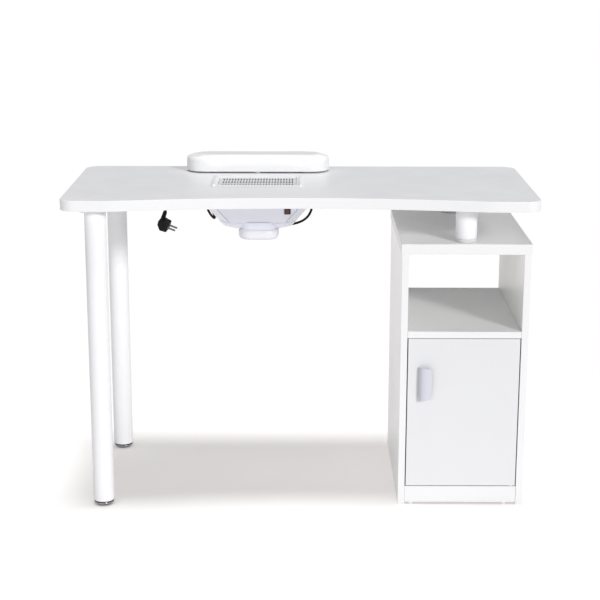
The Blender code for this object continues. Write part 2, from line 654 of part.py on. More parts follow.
def make_housing(mats):
    housing = finish(hopper(0.0, TOUCH), "collector_housing", mats["collector_plastic"])
    lug_z = (TOUCH - 0.003, TOUCH)
    lugs = [box((x - 0.009, x + 0.009), sorted((HOUSING_Y + sign * 0.080, HOUSING_Y + sign * 0.105)), lug_z)
            for x in (VENT_X - 0.062, VENT_X + 0.062) for sign in (-1, 1)]
    neck = prism(stadium(*NECK_HALF, 8, *OUTLET), (COLLAR_Z[0] + 0.004, NECK_TOP))
    heads = [screw_head(x, y, TOUCH - 0.003, 0.0036, 0.0024) for x, y in lug_places()]
    join(housing, neck, *lugs, *heads)
    bore = prism(stadium(NECK_HALF[0] - HOUSING_WALL, NECK_HALF[1] - HOUSING_WALL, 8, *OUTLET),
                 (COLLAR_Z[0] - 0.01, NECK_TOP - HOUSING_WALL))
    cut(housing, hopper(HOUSING_WALL, TOUCH + 0.002))
    switch_hole = moved(box((-0.0068, 0.0068), (-0.0093, 0.0093), (-0.02, 0.02)),
                        wall_frame(SWITCH_X, SWITCH_Z))
    relief_hole = moved(cylinder(0.0063, 0, 0, (-0.02, 0.02), 14), back_wall_frame(RELIEF_X, RELIEF_Z))
    cut(housing, bore, switch_hole, relief_hole)

    low, high = COLLAR_Z
    outer = COLLAR_HALF
    rings = []
    for inset, z in ((0.0070, low), (0.0024, low + 0.0022), (0.0, low + 0.008), (0.0, high - 0.007),
                     (0.0022, high - 0.0018), (0.0042, high)):
        rings.append([(x, y, z) for x, y in stadium(outer[0] - inset, outer[1] - inset, 8, *OUTLET)])
    collar = finish(loft(rings), "outlet_collar", mats["collector_plastic"])
    cut(collar, prism(stadium(NECK_HALF[0] + GAP, NECK_HALF[1] + GAP, 8, *OUTLET),
                      (low + 0.0037, high + 0.01)))
    cut(collar, prism(stadium(NECK_HALF[0] - HOUSING_WALL, NECK_HALF[1] - HOUSING_WALL, 8, *OUTLET),
                      (low - 0.01, low + 0.01)))


def blade(angle):
    """One twisted fan blade, from inside the hub's wall to the tip."""
    sections = []
    for radius, pitch, chord in ((0.0186, 48, 0.019), (0.036, 38, 0.024), (0.0545, 30, 0.027)):
        lean = math.radians(pitch)
        across = Vector((math.cos(lean), 0, math.sin(lean))) * chord / 2
        thick = Vector((-math.sin(lean), 0, math.cos(lean))) * 0.0007
        middle = Vector((0, radius, 0))
        sections.append([middle - across - thick, middle + across - thick, middle + across + thick,
                         middle - across + thick])
    return moved(loft(sections), Matrix.Rotation(angle, 4, "Z"))


def make_fan(mats):
    low, high = FAN_Z
    centre = (VENT_X, HOUSING_Y)
    frame = finish(prism(rounded_rectangle(FAN_HALF, FAN_HALF, 0.006, 3, *centre), (low, high)),
                   "fan_frame",
                   mats["black_plastic"])
    holes = [cylinder(0.0022, VENT_X + sx * FAN_HOLE_OFFSET, HOUSING_Y + sy * FAN_HOLE_OFFSET,
                      (low - 0.01, high + 0.01), 10)
             for sx in (-1, 1) for sy in (-1, 1)]
    cut(frame, cylinder(FAN_BORE, *centre, (low - 0.01, high + 0.01), 28), *holes)
    base = cylinder(0.021, *centre, (low, low + 0.003), 24)
    struts = [moved(box((0.015, FAN_BORE + 0.001), (-0.0025, 0.0025), (low + 0.0003, low + 0.0027)),
                    Matrix.Translation((*centre, 0)) @ Matrix.Rotation(math.radians(45 + 90 * k), 4, "Z"))
              for k in range(4)]
    for strut in struts:
        join(frame, strut)
    join(frame, base)

    motor = [(0.0160, low + 0.003 + GAP), (0.0160, low + 0.014), (0.0022, low + 0.014),
             (0.0022, low + 0.003 + GAP)]
    finish(turned(motor, *centre, 16), "fan_motor", mats["steel"])

    hub_top = high - 0.002
    hub = turned([(0, hub_top), (0.0185, hub_top), (0.0200, hub_top - 0.0015), (0.0200, low + 0.007),
                  (0.0178, low + 0.007),
                  (0.0178, hub_top - 0.003), (0.0018, hub_top - 0.003), (0.0018, low + 0.0045),
                  (0, low + 0.0045)],
                 0, 0, 18)
    origin = Vector((VENT_X, HOUSING_Y, (low + high) / 2))
    middle = (low + 0.007 + hub_top) / 2
    impeller = finish(hub, "fan_impeller", mats["black_plastic"],
                      matrix=Matrix.Translation((VENT_X, HOUSING_Y, 0)))
    blades = [moved(blade(math.tau * k / BLADE_COUNT), Matrix.Translation((0, 0, middle - 0.0002)))
              for k in range(BLADE_COUNT)]
    join(impeller, *blades)
    impeller.data.transform(Matrix.Translation((0, 0, -origin.z)))
    impeller.matrix_world = Matrix.Translation(origin)

    plate_z = (high + GAP, high + 0.003)
    half_y = HOPPER_TOP[1] - WALL_SLOPE * (TOUCH - plate_z[0]) - HOUSING_WALL * 1.17 - GAP
    half_x = HOPPER_TOP[0] - HOUSING_WALL - GAP
    ring = [(x, y) for x, y, _ in chamfered_ring(half_x, half_y, HOPPER_TOP[2], 0)]
    plate = finish(prism(ring, plate_z), "fan_plate", mats["collector_plastic"])
    corners = [(VENT_X + sx * FAN_HOLE_OFFSET, HOUSING_Y + sy * FAN_HOLE_OFFSET) for sx in (-1, 1)
               for sy in (-1, 1)]
    join(plate, *[cylinder(0.0018, x, y, (low + 0.006, plate_z[1] + 0.001), 10) for x, y in corners],
         *[cylinder(0.0036, x, y, (plate_z[1] - 0.001, plate_z[1] + 0.0018), 10) for x, y in corners])
    cut(plate, cylinder(FAN_BORE, *centre, (plate_z[0] - 0.01, plate_z[1] + 0.01), 28))


def make_switch(mats):
    place = wall_frame(SWITCH_X, SWITCH_Z)
    half_x = SWITCH_SIZE[0] / 2
    half_y = SWITCH_SIZE[1] / 2
    body = finish(box((-half_x, half_x), (-half_y, half_y), (GAP, 0.0022)), "switch_body",
                  mats["black_plastic"], matrix=place)
    join(body, box((-0.0065, 0.0065), (-0.0090, 0.0090), (-0.0145, 0.001)),
         *[box((-0.0024, 0.0024), (y - 0.0004, y + 0.0004), (-0.021, -0.014)) for y in (-0.005, 0.005)])
    cut(body, box((-0.0053, 0.0053), (-0.0078, 0.0078), (-0.0085, 0.01)))
    pivot = 0.0004
    arc = [(0.0070 * math.sin(a), pivot - 0.0070 * math.cos(a))
           for a in [math.radians(-68 + 136 * k / 8) for k in range(9)]]
    crest = [(0.0066, 0.0026), (0.0, 0.0016), (-0.0066, 0.0046)]
    profile = arc + crest
    rocker = prism([(y, z) for y, z in profile], (-0.0049, 0.0049))
    swap = Matrix(((0, 0, 1, 0), (1, 0, 0, 0), (0, 1, 0, 0), (0, 0, 0, 1)))
    moved(rocker, Matrix.Translation((0, 0, -pivot)) @ swap)
    finish(rocker, "switch_rocker", mats["red_plastic"], matrix=place @ Matrix.Translation((0, 0, pivot)))


def make_wires(mats):
    """The lead inside the housing: from the strain relief, past the switch's terminals, to the fan motor."""
    route = [(-0.0575, 0.0560, 0.6700), (-0.0540, 0.0430, 0.6722), (-0.0440, 0.0210, 0.6730),
             (-0.0350, -0.0050, 0.6738),
             (-0.0325, -0.0190, 0.6745), (-0.0345, -0.0235, 0.6790), (-0.0400, -0.0190, 0.6830),
             (-0.0560, -0.0020, 0.6825), (-0.0780, 0.0080, 0.6835), (-0.0960, 0.0140, 0.6865)]
    cord_curve("internal_wires", smooth_route(route, 0.006), 0.0016, mats["black_plastic"], 1)


# ---------------------------------------------------------------- cord
def smooth_route(route, spacing):
    """Points at an even spacing on a Catmull-Rom curve through the route's own points."""
    pts = [Vector(p) for p in route]
    pts = [2 * pts[0] - pts[1]] + pts + [2 * pts[-1] - pts[-2]]
    fine = []
    for p0, p1, p2, p3 in zip(pts, pts[1:], pts[2:], pts[3:]):
        for step in range(20):
            t = step / 20
            fine.append(0.5 * (2 * p1 + (p2 - p0) * t + (2 * p0 - 5 * p1 + 4 * p2 - p3) * t * t
                               + (3 * p1 - p0 - 3 * p2 + p3) * t ** 3))
    fine.append(pts[-2])
    lengths = [0.0]
    for a, b in zip(fine, fine[1:]):
        lengths.append(lengths[-1] + (b - a).length)
    count = max(2, round(lengths[-1] / spacing))
    result = []
    index = 0
    for step in range(count + 1):
        target = lengths[-1] * step / count
        while index < len(fine) - 2 and lengths[index + 1] < target:
            index += 1
        span = lengths[index + 1] - lengths[index]
        t = (target - lengths[index]) / span if span else 0.0
        point = fine[index].lerp(fine[index + 1], min(t, 1.0))
        point.z = min(point.z, CORD_TOP_Z)
        result.append(point)
    return result


def add_spline(curve, points):
    spline = curve.splines.new("POLY")
    spline.points.add(len(points) - 1)
    for target, point in zip(spline.points, points):
        target.co = (*point, 1.0)


def cord_curve(name, points, radius, mat, resolution=2):
    curve = bpy.data.curves.new(name, "CURVE")
    curve.dimensions = "3D"
    curve.bevel_depth = radius
    curve.bevel_resolution = resolution
    curve.use_fill_caps = True
    add_spline(curve, points)
    curve.materials.append(mat)
    obj = bpy.data.objects.new(name, curve)
    bpy.context.scene.collection.objects.link(obj)
    return obj


def relief_tip():
    """Where the cord leaves the strain relief, and which way."""
    frame = back_wall_frame(RELIEF_X, RELIEF_Z)
    return frame @ Vector((0, 0, RELIEF_LENGTH)), (frame.to_3x3() @ Vector((0, 0, 1))).normalized()


PLUG_TOP = Vector((-0.3237, -0.0587, 0.6905))
PLUG_DOWN = Vector((-0.31, 0.18, -0.93)).normalized()
PLUG_SIDE = Vector((-0.18, -0.97, -0.13))
COIL_LINE_Y = COIL_CENTRE[1] + COIL_MEAN_RADIUS + 0.0033


CLIPS = (("cord_clip_right", (0.0320, 0.1290), 90), ("cord_clip_left_rear", (-0.2223, 0.1560), 76),
         ("cord_clip_left_front", (-0.2450, 0.0180), 82), ("cord_clip_plug", (-0.2934, -0.0763), 150))
CLIP_RUN = 0.008                   # straight cord before and after the middle of a clip


def through_clip(index, way=1):
    """Three points of the cord where a clip holds it, in the order that the cord passes them."""
    _, (x, y), heading = CLIPS[index]
    step = Vector((math.cos(math.radians(heading)), math.sin(math.radians(heading)), 0)) * CLIP_RUN * way
    middle = Vector((x, y, CORD_TOP_Z))
    return [middle - step, middle, middle + step]


def route_to_coil():
    """From the strain relief, in a loop beside the housing, up to the underside and on to the coil."""
    tip, way = relief_tip()
    return [tip + way * 2 * GAP, tip + way * 0.014,
            (-0.0558, 0.1129, 0.6336), (-0.0498, 0.1218, 0.6271), (-0.0371, 0.1252, 0.6231),
            (-0.0256, 0.1233, 0.6231),
            (-0.0139, 0.1195, 0.6255), (-0.0029, 0.1148, 0.6298), (0.0069, 0.1097, 0.6356),
            (0.0150, 0.1046, 0.6429),
            (0.0214, 0.1000, 0.6517), (0.0260, 0.0962, 0.6619), (0.0291, 0.0938, 0.6735),
            (0.0310, 0.0931, 0.6857),
            (0.0320, 0.0945, 0.6975), (0.0323, 0.1001, 0.7110), (0.0322, 0.1103, 0.7195), *through_clip(0),
            (0.0310, 0.1489, 0.7215), (0.0236, 0.1717, 0.7197), (0.0095, 0.1915, 0.7168),
            (-0.0096, 0.2064, 0.7143), (-0.0320, 0.2148, 0.7127), (-0.0540, COIL_LINE_Y, 0.7124),
            (COIL_CENTRE[0] + 0.0222, COIL_LINE_Y, 0.7124)]


def route_to_plug():
    """From the coil to the left, down in a loop beside the housing, and forward to the plug."""
    return [(COIL_CENTRE[0] - 0.0222, COIL_LINE_Y, 0.7187), (-0.1364, 0.2153, 0.7187),
            (-0.1610, 0.2117, 0.7191),
            (-0.1845, 0.2036, 0.7201), (-0.2045, 0.1901, 0.7213), (-0.2140, 0.1795, 0.7217),
            *through_clip(1, -1),
            (-0.2275, 0.1356, 0.7175), (-0.2292, 0.1278, 0.7065), (-0.2294, 0.1243, 0.6954),
            (-0.2285, 0.1215, 0.6834),
            (-0.2257, 0.1183, 0.6716), (-0.2218, 0.1136, 0.6604), (-0.2167, 0.1046, 0.6500),
            (-0.2146, 0.0931, 0.6453),
            (-0.2160, 0.0809, 0.6470), (-0.2212, 0.0699, 0.6548), (-0.2276, 0.0611, 0.6677),
            (-0.2315, 0.0560, 0.6790),
            (-0.2348, 0.0515, 0.6912), (-0.2378, 0.0469, 0.7032), (-0.2405, 0.0411, 0.7135),
            *through_clip(2, -1),
            (-0.2474, -0.0021, 0.7217), (-0.2486, -0.0284, 0.7217), (-0.2512, -0.0545, 0.7217),
            (-0.2542, -0.0659, 0.7217),
            (-0.2609, -0.0777, 0.7217), (-0.2700, -0.0838, 0.7217), (-0.2790, -0.0835, 0.7217),
            *through_clip(3),
            (-0.3104, -0.0666, 0.7180), (-0.3177, -0.0623, 0.7092), PLUG_TOP - PLUG_DOWN * 0.0080,
            PLUG_TOP - PLUG_DOWN * 0.001]


STRAP_WIDTH = 0.010
STRAP_SHEET = 0.0014
STRAP_FOOT = 0.0115


def make_clips(mats):
    """Moulded clips that hook under the cord, and the bracket that holds the coil to the underside."""
    bore = CORD_RADIUS + 2 * GAP
    shell = bore + 0.0015
    rise = TOUCH - CORD_TOP_Z
    hook = [(bore * math.cos(a), bore * math.sin(a))
            for a in [math.radians(180 + 180 * k / 8) for k in range(9)]]
    back = [(shell * math.cos(a), shell * math.sin(a))
            for a in [math.radians(-10 - 170 * k / 8) for k in range(9)]]
    section = [(-bore, rise)] + hook + [(bore, rise), (0.0112, rise),
                                        (0.0112, rise - 0.0030)] + back + [(-shell, rise)]
    turn = Matrix(((0, 0, 1, 0), (1, 0, 0, 0), (0, 1, 0, 0), (0, 0, 0, 1)))
    for name, place, heading in CLIPS:
        frame = Matrix.Translation((*place, CORD_TOP_Z)) @ Matrix.Rotation(math.radians(heading), 4, "Z")
        clip = finish(prism(section, (-0.0035, 0.0035)), name, mats["white_plastic"])
        clip.data.transform(turn)
        join(clip, screw_head(0, 0.0076, rise - 0.0030, 0.0026, 0.0014, 8))
        clip.matrix_world = frame

    inner = COIL_HALF_WIDTH + 0.0014
    low = COIL_Z[0] - 0.0006
    cx, cy = COIL_CENTRE
    reach = COIL_MEAN_RADIUS + inner + STRAP_SHEET + STRAP_FOOT
    width = (cy - STRAP_WIDTH / 2, cy + STRAP_WIDTH / 2)
    strap = finish(box((cx - reach, cx + reach), width, (TOUCH - STRAP_SHEET, TOUCH)), "coil_bracket",
                   mats["white_plastic"])
    for sign in (-1, 1):
        middle = cx + sign * COIL_MEAN_RADIUS
        trough = (middle - inner - STRAP_SHEET, middle + inner + STRAP_SHEET)
        join(strap, box(trough, width, (low - STRAP_SHEET, TOUCH - STRAP_SHEET / 2)))
    cut(strap, *[box((cx + sign * COIL_MEAN_RADIUS - inner, cx + sign * COIL_MEAN_RADIUS + inner),
                     (cy - 0.02, cy + 0.02), (low, TOUCH + 0.01)) for sign in (-1, 1)])


def make_cord(mats):
    frame = back_wall_frame(RELIEF_X, RELIEF_Z)
    bush = turned([(0, RELIEF_LENGTH), (0.0037, RELIEF_LENGTH), (0.0056, 0.004), (0.0085, 0.003),
                   (0.0085, GAP),
                   (0.0060, GAP), (0.0060, -0.0030), (0.0072, -0.0034), (0.0066, -0.0062), (0, -0.0062)], 0,
                   0, 16)
    finish(bush, "cord_strain_relief", mats["cord_black"], matrix=frame)
    spacing = 4.5 * CORD_RADIUS
    cord_curve("cord_to_coil", smooth_route(route_to_coil(), spacing), CORD_RADIUS, mats["cord_black"])
    cord_curve("cord_to_plug", smooth_route(route_to_plug(), spacing), CORD_RADIUS, mats["cord_black"])
    outer = COIL_MEAN_RADIUS + COIL_HALF_WIDTH
    inner = COIL_MEAN_RADIUS - COIL_HALF_WIDTH
    ring = [(outer, COIL_Z[1] - 0.002), (outer, COIL_Z[0] + 0.002), (outer - 0.002, COIL_Z[0]),
            (inner + 0.002, COIL_Z[0]),
            (inner, COIL_Z[0] + 0.002), (inner, COIL_Z[1] - 0.002), (inner + 0.002, COIL_Z[1]),
            (outer - 0.002, COIL_Z[1])]
    finish(turned(ring, *COIL_CENTRE, 24), "cord_coil", mats["cord_black"])


PIN_RADIUS = 0.0024
PIN_SPACING = 0.019


def plug_frame():
    """Local Z runs down the plug from its sleeve, X points the way the pins do and Y runs across them."""
    down = PLUG_DOWN
    pins = PLUG_SIDE.cross(down).normalized()
    side = down.cross(pins).normalized()
    rotation = Matrix((pins, side, down)).transposed().to_4x4()
    return Matrix.Translation(PLUG_TOP) @ rotation


def make_plug(mats):
    place = plug_frame()
    sleeve = turned([(0, 0.0), (0.0042, 0.0), (0.0052, 0.002), (0.0062, 0.026), (0, 0.026)], 0, 0, 16)
    body = finish(sleeve, "plug_body", mats["cord_black"], matrix=place)
    outline = [(0.0190, 0.0245), (0.0190, 0.0440), (0.0030, 0.0455), (-0.0060, 0.0340), (-0.0066, 0.0235),
               (0.0020, 0.0215)]
    swap = Matrix(((1, 0, 0, 0), (0, 0, -1, 0), (0, 1, 0, 0), (0, 0, 0, 1)))
    join(body, moved(prism(outline, (-0.0170, 0.0170)), swap))
    middle = 0.0343
    across = Vector((1, 0, 0))
    places = [Vector((0.008, sign * PIN_SPACING / 2, middle)) for sign in (-1, 1)]
    bridge = ((0.0078, 0.0112), (-PIN_SPACING / 2, PIN_SPACING / 2), (middle - 0.0018, middle + 0.0018))
    cut(body, *[along(start, across, PIN_RADIUS + GAP, (0, 0.02), 12) for start in places])
    cut(body, box(*[(low - GAP, high + GAP) for low, high in bridge]))
    soften(body, 0.0009)
    turn = Vector((0, 0, 1)).rotation_difference(across).to_matrix().to_4x4()
    shape = [(0, 0.030), (0.0014, 0.030), (PIN_RADIUS, 0.0285), (PIN_RADIUS, 0.0005), (0, 0.0005)]
    pins = finish(moved(turned(shape, 0, 0, 12), Matrix.Translation(places[0]) @ turn), "plug_pins",
                  mats["steel"])
    join(pins, moved(turned(shape, 0, 0, 12), Matrix.Translation(places[1]) @ turn))
    join(pins, box(*bridge))
    pins.matrix_world = place


# ---------------------------------------------------------------- wrist cushion
def make_cushion(mats):
    low, high = CUSHION_Z
    half_x = CUSHION_LENGTH / 2
    half_y = CUSHION_WIDTH / 2
    origin = (CUSHION_X, CUSHION_Y, low)
    rings = []
    for inset, z in ((0.0022, low), (0.0, low + 0.003), (0.0, high - 0.013), (0.0022, high - 0.006),
                     (0.008, high - 0.0018), (0.018, high)):
        rings.append([(x, y, z) for x, y in stadium(half_x - inset, half_y - inset, 9, CUSHION_X,
                                                    CUSHION_Y)])
    pad = finish(loft(rings), "wrist_cushion_pad", mats["vinyl"], origin=origin)
    rim = 0.006
    recess = prism(stadium(half_x - rim, half_y - rim, 9), (-0.01, CUSHION_BOARD + 2 * GAP))
    cut(pad, recess)
    holder = finish(prism(stadium(half_x - rim - GAP, half_y - rim - GAP, 9, CUSHION_X, CUSHION_Y),
                          (low + GAP, low + GAP + CUSHION_BOARD)), "wrist_cushion_board", mats["laminate"],
                          origin=origin)
    feet = [(0, -0.030)] + [(sx * 0.125, sy * 0.022) for sx in (-1, 1) for sy in (-1, 1)]
    foot = [(0, GAP + 0.001), (0.0070, GAP + 0.001), (0.0075, TABLE_HEIGHT + 0.0013 - low),
            (0.0068, TABLE_HEIGHT + GAP - low), (0, TABLE_HEIGHT + GAP - low)]
    join(holder, *[turned(foot, x, y, 10) for x, y in feet])


def main():
    clear_scene()
    mats = {
        "laminate": material("white_laminate", (0.86, 0.86, 0.87), 0.30),
        "powder_coat": material("white_powder_coat", (0.88, 0.88, 0.89), 0.35),
        "chrome": material("chrome", (0.62, 0.63, 0.64), 0.10, 1.0),
        "steel": material("zinc_steel", (0.55, 0.56, 0.58), 0.35, 1.0),
        "base_plastic": material("grey_white_plastic", (0.72, 0.72, 0.73), 0.40),
        "white_plastic": material("white_plastic", (0.88, 0.88, 0.88), 0.40),
        "collector_plastic": material("collector_plastic", (0.70, 0.71, 0.78), 0.35),
        "vent_metal": material("vent_metal", (0.72, 0.72, 0.74), 0.40, 0.3),
        "black_plastic": material("black_plastic", (0.02, 0.02, 0.02), 0.45),
        "red_plastic": material("red_plastic", (0.40, 0.02, 0.02), 0.30),
        "handle_plastic": material("handle_plastic", (0.66, 0.66, 0.73), 0.35),
        "cord_black": material("cord_black", (0.015, 0.015, 0.016), 0.55),
        "vinyl": material("white_vinyl", (0.88, 0.88, 0.89), 0.45),
    }
    make_tabletop(mats)
    make_legs(mats)
    make_posts(mats)
    make_cabinet(mats)
    make_door(mats)
    make_vent(mats)
    make_housing(mats)
    make_fan(mats)
    make_switch(mats)
    make_wires(mats)
    make_clips(mats)
    make_cord(mats)
    make_plug(mats)
    make_cushion(mats)


main()
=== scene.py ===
"""Looks of the manicure table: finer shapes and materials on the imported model, floor, lights, camera."""

import json
import math

import bmesh
import bpy
from mathutils import Matrix, Vector

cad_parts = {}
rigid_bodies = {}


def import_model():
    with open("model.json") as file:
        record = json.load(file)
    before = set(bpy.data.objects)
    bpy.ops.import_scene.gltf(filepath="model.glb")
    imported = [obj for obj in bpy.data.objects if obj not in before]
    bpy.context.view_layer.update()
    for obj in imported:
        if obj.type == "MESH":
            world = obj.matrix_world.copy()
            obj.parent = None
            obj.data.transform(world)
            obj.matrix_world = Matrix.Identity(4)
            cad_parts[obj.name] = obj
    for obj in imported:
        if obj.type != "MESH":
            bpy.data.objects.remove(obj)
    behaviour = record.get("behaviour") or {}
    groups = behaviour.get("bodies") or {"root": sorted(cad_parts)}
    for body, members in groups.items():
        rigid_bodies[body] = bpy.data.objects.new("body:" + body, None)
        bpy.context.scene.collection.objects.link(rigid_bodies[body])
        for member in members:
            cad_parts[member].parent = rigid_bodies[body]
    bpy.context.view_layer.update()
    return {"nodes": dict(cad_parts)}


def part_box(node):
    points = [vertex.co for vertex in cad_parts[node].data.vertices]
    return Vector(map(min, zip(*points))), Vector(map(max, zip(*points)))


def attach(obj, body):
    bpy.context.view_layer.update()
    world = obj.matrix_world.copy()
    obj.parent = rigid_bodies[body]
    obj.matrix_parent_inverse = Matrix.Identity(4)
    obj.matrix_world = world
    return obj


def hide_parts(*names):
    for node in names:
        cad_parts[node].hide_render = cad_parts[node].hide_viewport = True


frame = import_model()
NODES = frame["nodes"]
scene = bpy.context.scene

# ---------------------------------------------------------------- dimensions shared with the model
GAP = 0.0003
HALF_WIDTH = 0.550
HALF_DEPTH = 0.250
TOP_Z = (0.725, 0.750)
TOUCH = TOP_Z[0] - GAP
TUBE_RADIUS = 0.025
TUBE_WALL = 0.002
SOCKET_RADIUS = 0.0227  # of what fits inside a tube
LEG_TUBE_LOW = 0.0116
PLATE_HALF = 0.034
PLATE_THICKNESS = 0.004
PLATE_HOLE_OFFSET = 0.0255
LEG_X = -0.473
LEG_Y = {"leg_front": -0.198, "leg_rear": 0.206}
POST_X = 0.386
POST_Y = {"post_front": -0.168, "post_rear": 0.198}
CAB_TOP_Z = 0.642
POST_BASE_HEIGHT = 0.008
VENT = Vector((-0.104, 0.0125, 0.750))
VENT_CUT = (0.103, 0.0685)
BEZEL_HALF = (0.1085, 0.0735)
VENT_PLATE_Y = 0.0205
VENT_PLATE_HALF = (0.0950, 0.0565)
SLOT_COLUMNS = 25
SLOT_ROWS = 3
SLOT_PITCH = (0.007, 0.0375)
SLOT_HALF = (0.014, 0.0018)
HOUSING = Vector((-0.104, 0.016, 0.0))
WALL_SLOPE = 0.60
HOPPER_TOP = (0.119, 0.088, 0.024)  # half width, half depth and corner chamfer
HOPPER_KNEE_Z = 0.692  # where the ends turn from upright to slanting
OUTLET = (-0.1015, -0.008)
NECK_HALF = (0.0440, 0.0260)
NECK_BORE = (0.0415, 0.0235)
COLLAR_HALF = (0.0493, 0.031)
COLLAR_Z = (0.6150, 0.6402)
LUG_OFFSET_X = 0.062
LUG_THICKNESS = 0.003
SWITCH_SPOT = (-0.0313, 0.6904)
CUSHION = Vector((-0.108, 0.178, 0.755))
CUSHION_TOP = 0.7955
CUSHION_HALF = (0.181, 0.045)
CORD_RADIUS = 0.003
CORD_TOP_Z = 0.7217
CORD_SPACING = 0.006
COIL = Vector((-0.090, 0.180, 0.0))
COIL_RADII = (0.0363, 0.0301)
COIL_HEIGHTS = (0.7124, 0.7187)
COIL_TURNS = 3


# ---------------------------------------------------------------- camera
def make_camera():
    data = bpy.data.cameras.new("camera")
    data.sensor_width = 36.0
    data.lens = 89.19
    camera = bpy.data.objects.new("camera", data)
    scene.collection.objects.link(camera)
    camera.location = (0.0028, -3.5618, 1.3653)
    pan, tilt, roll = 0.0010, math.pi / 2 - 0.2498, 0.0020
    turn = Matrix.Rotation(pan, 4, "Z") @ Matrix.Rotation(tilt, 4, "X") @ Matrix.Rotation(roll, 4, "Z")
    camera.rotation_euler = turn.to_euler()
    scene.camera = camera


# ---------------------------------------------------------------- mesh helpers
def new_object(bm, name, mats, smooth_angle=35.0, matrix=None):
    """Object from a bmesh; mats is one material or a list of them."""
    bmesh.ops.recalc_face_normals(bm, faces=bm.faces)
    mesh = bpy.data.meshes.new(name)
    bm.to_mesh(mesh)
    bm.free()
    for mat in mats if isinstance(mats, list) else [mats]:
        mesh.materials.append(mat)
    obj = bpy.data.objects.new(name, mesh)
    scene.collection.objects.link(obj)
    if matrix is not None:
        obj.matrix_world = matrix
    mesh.shade_smooth()
    mesh.set_sharp_from_angle(angle=math.radians(smooth_angle))
    return obj


def box(x, y, z):
    """Block between two limits on each axis."""
    bm = bmesh.new()
    size = (x[1] - x[0], y[1] - y[0], z[1] - z[0])
    centre = ((x[0] + x[1]) / 2, (y[0] + y[1]) / 2, (z[0] + z[1]) / 2)
    bmesh.ops.create_cube(bm, size=1.0, matrix=Matrix.Translation(centre) @ Matrix.Diagonal((*size, 1.0)))
    return bm


def prism(outline, z):
    """Outline of (x, y) points drawn out from z[0] to z[1]."""
    bm = bmesh.new()
    face = bm.faces.new([bm.verts.new((px, py, z[0])) for px, py in outline])
    extruded = bmesh.ops.extrude_face_region(bm, geom=[face])
    top = [item for item in extruded["geom"] if isinstance(item, bmesh.types.BMVert)]
    bmesh.ops.translate(bm, verts=top, vec=(0, 0, z[1] - z[0]))
    return bm


def loft(rings, closed=False):
    """Skin through rings of points with flat ends, or, if closed, from the last ring back to the first."""
    bm = bmesh.new()
    loops = [[bm.verts.new(p) for p in ring] for ring in rings]
    count = len(rings[0])
    if closed:
        loops.append(loops[0])
    for lower, upper in zip(loops, loops[1:]):
        for i in range(count):
            j = (i + 1) % count
            bm.faces.new((lower[i], lower[j], upper[j], upper[i]))
    if not closed:
        bm.faces.new(loops[0])
        bm.faces.new(list(reversed(loops[-1])))
    return bm


def turned(profile, centre=(0.0, 0.0), segments=64):
    """Turn (radius, z) points about the upright axis through centre."""
    bm = bmesh.new()
    verts = [bm.verts.new((r, 0.0, z)) for r, z in profile]
    pairs = list(zip(verts, verts[1:]))
    if profile[0][0] > 0:
        pairs.append((verts[-1], verts[0]))
    edges = [bm.edges.new(pair) for pair in pairs]
    bmesh.ops.spin(bm, geom=verts + edges, cent=(0, 0, 0), axis=(0, 0, 1), dvec=(0, 0, 0),
                   angle=math.tau, steps=segments, use_merge=True)
    bmesh.ops.remove_doubles(bm, verts=bm.verts, dist=0.00001)
    bmesh.ops.translate(bm, verts=bm.verts, vec=(*centre, 0))
    return bm


def moved(bm, matrix):
    bmesh.ops.transform(bm, matrix=matrix, verts=bm.verts)
    return bm


def add(target, *others):
    """Copy other bmeshes into target as separate bodies."""
    for other in others:
        mesh = bpy.data.meshes.new("piece")
        other.to_mesh(mesh)
        other.free()
        target.from_mesh(mesh)
        bpy.data.meshes.remove(mesh)


def combine(obj, tools, operation="DIFFERENCE"):
    """Boolean a bmesh of tools, in the object's own coordinates, with an object and keep the result."""
    cutter = new_object(tools, "tool", obj.data.materials[0])
    bpy.context.view_layer.update()
    cutter.matrix_world = obj.matrix_world
    modifier = obj.modifiers.new("combine", "BOOLEAN")
    modifier.operation = operation
    modifier.object = cutter
    bake(obj)
    bpy.data.objects.remove(cutter, do_unlink=True)


def bake(obj):
    """Apply every modifier that the object has."""
    bpy.context.view_layer.update()
    depsgraph = bpy.context.evaluated_depsgraph_get()
    mesh = bpy.data.meshes.new_from_object(obj.evaluated_get(depsgraph))
    old = obj.data
    obj.modifiers.clear()
    obj.data = mesh
    mesh.name = obj.name
    bpy.data.meshes.remove(old)


def soften(obj, width, segments=3, angle=35.0):
    """Round the edges that are sharper than the angle."""
    bevel = obj.modifiers.new("edge", "BEVEL")
    bevel.width = width
    bevel.segments = segments
    bevel.limit_method = "ANGLE"
    bevel.angle_limit = math.radians(angle)
    bevel.harden_normals = True
    return obj


def place(obj, body, *nodes):
    """The piece rides on a body and stands for the nodes."""
    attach(obj, body)
    if nodes:
        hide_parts(*nodes)


def rounded_rectangle(half_x, half_y, radius, steps=6, centre=(0.0, 0.0)):
    points = []
    for quarter, (sx, sy) in enumerate(((1, 1), (-1, 1), (-1, -1), (1, -1))):
        for step in range(steps + 1):
            angle = (quarter + step / steps) * math.pi / 2
            points.append((centre[0] + sx * (half_x - radius) + radius * math.cos(angle),
                           centre[1] + sy * (half_y - radius) + radius * math.sin(angle)))
    return points


def stadium(half_x, half_y, steps=24, centre=(0.0, 0.0)):
    """Outline with straight long sides and half-round ends."""
    points = []
    for side, sign in enumerate((1, -1)):
        for step in range(steps + 1):
            angle = -math.pi / 2 + (side + step / steps) * math.pi
            points.append((centre[0] + sign * (half_x - half_y) + half_y * math.cos(angle),
                           centre[1] + half_y * math.sin(angle)))
    return points


